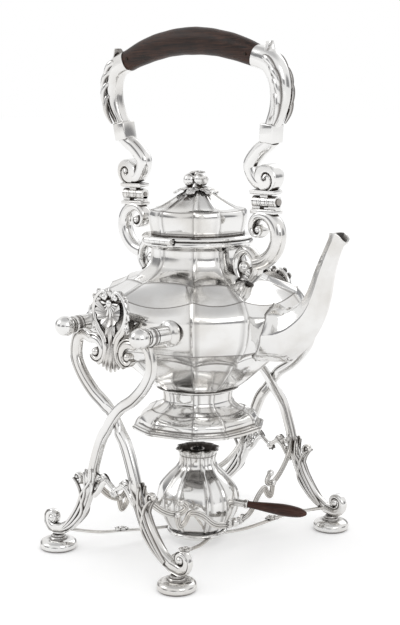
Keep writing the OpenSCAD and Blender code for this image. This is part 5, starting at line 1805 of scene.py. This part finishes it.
@dataclass
class Burner:
    """The spirit burner: a panelled pear with a lobed lip, a wick and a turned wooden handle."""

    base_z: float = 6.6
    radius: float = 31.7
    height: float = 72.5
    mouth_r: float = 16.0
    wall: float = 1.4
    stick_l: float = 46.0
    stick_turn: float = 23.0
    stick_z: float = 32.0
    wick_r: float = 4.0
    silver: Silver = PLAIN
    wood: Wood = Wood("stick_wood", 23.0, (0.016, 0.007, 0.005), (0.075, 0.026, 0.016), 0.24)

    def build_body(self, shop: Workshop) -> None:
        """Builds the panelled body with its lobed lip, and painted shade over its inside."""
        r, h, z = self.radius, self.height - self.base_z, self.base_z
        shares = [(0.50, 0, 0), (0.60, 0.035, 0), (0.80, 0.11, 0.2),
                  (0.955, 0.25, 0.3), (1, 0.40, 0.2), (0.93, 0.54, 0), (0.72, 0.67, -0.2),
                  (0.50, 0.78, -0.3), (0.44, 0.86, 0), (0.45, 0.93, 0.4)]
        body = [(a * r, b * h + z, 1, 0, p) for a, b, p in shares]
        lip = [(0.45 * r, 0.93 * h + z, 1, 0, 0.4), (self.mouth_r - 1.4, h + z - 1.6, 1, 0.6, 1.6),
               (self.mouth_r - 0.8, h + z - 0.2, 1, 0.5, 2.9)]
        shell = PanelledShell("burner_body_panels", Body.BURNER, self.silver, ["burner_body"],
                              turn=18.0, steps=6, bead=0.34, groove=0.3)
        outer = shell.rows([body, lip], 0.6)
        edge = [(self.mouth_r - 1.2, h + z, 1, 0.5, 2.9, 0, 0)]
        inner = inner_rows(outer, self.wall, z + self.wall)
        rows = ([plain_row(0.3, z, 0), plain_row(0.5 * r - 1.0, z)] + outer + edge + inner
                + [plain_row(0.5 * r - self.wall, z + self.wall), plain_row(0.3, z + self.wall, 0)])
        # Painted shade over the inside, darker deeper in.
        soot = [0.0] * (len(outer) + 3) + [min(0.93, 0.55 + 0.1 * i) for i in range(len(inner) + 2)]
        shell.build(shop, rows, soot)

    def along_stick(self) -> Matrix:
        """Place on the burner's side where its handle starts, along the handle."""
        return (Matrix.Rotation(math.radians(self.stick_turn), 4, "Z") @ Matrix.Translation(
            Vector((self.radius, 0, self.stick_z))) @ Matrix.Rotation(math.radians(93), 4, "Y"))

    def build_handle(self, shop: Workshop) -> None:
        """Builds the ferrule with its rings and the turned stick."""
        place = self.along_stick()
        ferrule = Shape()
        profile = [(0.2, -3.2), (3.6, -3.2), (3.6, -2.0), (3.0, -1.2), (2.8, -0.2), (2.8, 5.4),
                   (2.9, 5.9), (3.4, 6.2), (3.4, 6.9), (3.0, 7.2), (3.4, 7.5), (3.4, 8.6),
                   (3.0, 9.0), (0.2, 9.0)]
        # Painted shade where the ferrule meets the burner and in its grooves.
        tone = [0, 0.8, 0.6, 0.5, 0.2, 0, 0.7, 0, 0, 0.9, 0, 0, 0, 0]
        ferrule.lathe(profile, place, 48, line=tone)
        shop.piece("burner_ferrule_rings", ferrule, Body.BURNER, self.silver, ["burner_ferrule"])
        stick = Shape()
        l = self.stick_l
        line = curve([(2.6, 0), (2.8, 0.1 * l), (3.9, 0.38 * l), (4.6, 0.64 * l), (3.6, 0.88 * l),
                      (1.5, l - 0.6)], 10)
        profile = [(0.2, 9.0), (2.3, 9.0)] + [(r, z + 9.0) for r,
                                              z in line[1:]] + [(0.8, l + 8.9), (0.2, l + 9.0)]
        stick.lathe(profile, place, 56)
        shop.piece("burner_stick_turned", stick, Body.BURNER, self.wood, ["burner_stick"], "wood")

    def build_wick(self, shop: Workshop) -> None:
        """Builds the twisted wick round its core."""
        low, high = self.base_z + self.wall + 1, self.height - 0.6
        core = Shape()
        core.lathe([(0.2, low), (2.6, low), (2.7, high - 1.0), (2.0, high - 0.3), (0.2, high)],
                   Matrix.Translation((-AXIS_X, 0, 0)), 24)
        mesh = core.mesh("wick_strands")
        mesh.transform(Matrix.Translation((0, 0, -low * MM)))
        made = placed("wick_strands", mesh)
        nodes = made.modifiers.new("twist", "NODES")
        nodes.node_group = WickTree().tree
        kind = Cotton()
        set_input(nodes, "Finish", shop.finish(kind))
        set_input(nodes, "Wick radius", self.wick_r * MM)
        set_input(nodes, "Length", (high - low) * MM)
        applied(made)
        made.data.transform(Matrix.Translation((AXIS_X * MM, 0, low * MM)))
        made.data.shade_smooth()
        shop.hand_over(made, Body.BURNER, "cotton", ["wick"])

    def build(self, shop: Workshop) -> None:
        """Builds the whole burner."""
        self.build_body(shop)
        self.build_handle(shop)
        self.build_wick(shop)


# Studio


@dataclass
class Studio:
    """Pale floor and backdrop, soft lamps and the camera."""

    yaw: float = 43.0
    pitch: float = 9.09
    distance: float = 0.922
    aim_z: float = 0.3247
    lens: float = 71.65
    shift_x: float = 2.4 / 625
    shift_y: float = -0.9 / 625
    ground: float = 60.0
    lamp_aim: float = 0.2
    # Grey cards seen in the silver: azimuth, where each starts and is full, and its share
    cards: tuple[tuple[float, float, float, float], ...] = (
        (25, 0.90, 0.985, 0.78), (72, 0.93, 0.985, 0.7), (-28, 0.90, 0.985, 0.78),
        (128, 0.90, 0.985, 0.78), (-90, 0.90, 0.985, 0.78), (195, 0.90, 0.985, 0.78))

    def seen(self, t: Tree) -> Value:
        """1 for camera, glossy and transmission rays."""
        path = t.node("ShaderNodeLightPath")
        return (t.out(path, "Is Camera Ray") + t.out(path, "Is Glossy Ray")
                + t.out(path, "Is Transmission Ray")).held()

    def world(self) -> None:
        """Makes the surroundings: white where seen, and plain daylight on the object."""
        made = bpy.data.worlds.new("surroundings")
        made.use_nodes = True
        bpy.context.scene.world = made
        t = Tree(made.node_tree)
        way = t.node("ShaderNodeTexCoord").outputs["Generated"]
        split = t.node("ShaderNodeSeparateXYZ", None, {0: way})
        height = t.out(split, 2)
        cards = t.smooth(height, 0.70, 0.97) * 0.42
        for azimuth, start, full, share in self.cards:
            a = math.radians(azimuth)
            flat = (t.out(split, 0) * math.sin(a) - t.out(split, 1) * math.cos(a))
            cards = cards.most(t.smooth(flat, start, full) * share)
        seen = t.node("ShaderNodeLightPath")
        cards = (cards * t.out(seen, "Is Glossy Ray")).held()
        tone = t.blend(cards, rgb(1.0, 1.0, 1.0), rgb(0.09, 0.09, 0.10))
        shown = t.node("ShaderNodeBackground", None, {"Color": tone, "Strength": 1.0})
        light = t.node("ShaderNodeBackground", None, {"Color": rgb(1, 1, 1), "Strength": 0.84})
        both = t.node("ShaderNodeMixShader", None,
                      {0: self.seen(t), 1: light.outputs[0], 2: shown.outputs[0]})
        t.node("ShaderNodeOutputWorld", None, {0: both.outputs[0]})

    def floor(self) -> None:
        """Makes the pale floor, which keeps the object's shadow."""
        made, t = fresh("pale_floor")
        matt = t.node("ShaderNodeBsdfDiffuse", None, {"Color": rgb(0.80, 0.80, 0.80)})
        glow = t.node("ShaderNodeEmission", None, {"Color": rgb(1, 1, 1), "Strength": 0.34})
        lit = t.node("ShaderNodeAddShader", None, {0: matt.outputs[0], 1: glow.outputs[0]})
        both = t.node("ShaderNodeMixShader", None,
                      {0: self.seen(t), 1: matt.outputs[0], 2: lit.outputs[0]})
        t.node("ShaderNodeOutputMaterial", None, {0: both.outputs[0]})
        mesh = bpy.data.meshes.new("floor")
        g = self.ground
        mesh.from_pydata([(-g, -g, 0), (g, -g, 0), (g, g, 0), (-g, g, 0)], [], [(0, 1, 2, 3)])
        mesh.materials.append(made)
        placed("floor", mesh)

    def lamps(self) -> None:
        """Hangs three soft lamps."""
        for name, place, size, power in (("key_lamp", (-1.5, -1.5, 1.5), 1.1, 6.5),
                                         ("side_lamp", (1.7, -0.5, 1.1), 0.9, 3.5),
                                         ("back_lamp", (-0.3, 1.8, 1.3), 1.2, 3.5)):
            data = bpy.data.lights.new(name, "AREA")
            data.energy, data.size, data.shape = power, size, "SQUARE"
            lamp = placed(name, data)
            lamp.location = place
            aim = Vector((0, 0, self.lamp_aim)) - Vector(place)
            lamp.rotation_euler = aim.to_track_quat("-Z", "Y").to_euler()

    def camera(self) -> None:
        """Sets the camera at the photograph's angle."""
        a, b = math.radians(self.yaw), math.radians(self.pitch)
        data = bpy.data.cameras.new("camera")
        data.lens, data.sensor_width, data.sensor_fit = self.lens, 36.0, "AUTO"
        data.shift_x, data.shift_y = self.shift_x, self.shift_y
        camera = placed("camera", data)
        camera.location = (math.sin(a) * self.distance + AXIS_X * MM, -math.cos(a)
                           * self.distance, self.aim_z)
        forward = Vector((-math.sin(a) * math.cos(b), math.cos(a) * math.cos(b), -math.sin(b)))
        camera.rotation_euler = forward.to_track_quat("-Z", "Y").to_euler()
        bpy.context.scene.camera = camera

    def build(self) -> None:
        """Builds the studio."""
        self.world()
        self.floor()
        self.lamps()
        self.camera()
        bpy.context.scene.view_settings.view_transform = "Standard"


def dress_frame(shop: Workshop, frame: dict[str, Any]) -> None:
    """Gives every CAD node that stays its finish."""
    worked = Silver(name="fitting_silver", reach=0.0030, full=0.70, clouds=0.45)
    # Painted shade: the bail's hinge pins, the wick holder and the finial nut share a dimmer,
    # rougher copy of the silver, and the grip's rivets a near-black one, as though in shaded seats.
    shaded_dull = Silver(name="shaded_dull_silver", bright=(0.42, 0.40, 0.38), warm=(0.25, 0.22, 0.19),
                  start=0.15, full=0.6, gloss=0.28)
    shaded_plugs = Silver(name="shaded_rivet_silver", bright=(0.05, 0.04, 0.035),
                   warm=(0.03, 0.022, 0.018), gloss=0.45)
    kinds = {"bail_hinge_pins": shaded_dull, "wick_holder": shaded_dull, "finial_nut": shaded_dull, "grip_rivets": shaded_plugs,
             "lid_hinge_pin": worked, "lid_hinge_barrels": worked, "burner_seat": worked}
    for name, node in frame["nodes"].items():
        for slot in node.material_slots:
            slot.material = shop.finish(kinds.get(name, PLAIN))


def main() -> None:
    """Builds the looks, piece by piece."""
    logging.basicConfig(level=logging.INFO, format="%(message)s")
    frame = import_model()
    shop = Workshop()
    dress_frame(shop, frame)
    kettle = Kettle()
    kettle.build(shop)
    Lid().build(shop)
    Bail().build(shop, kettle)
    Stand().build(shop)
    Burner().build(shop)
    Studio().build()


if __name__ == "__main__":
    main()
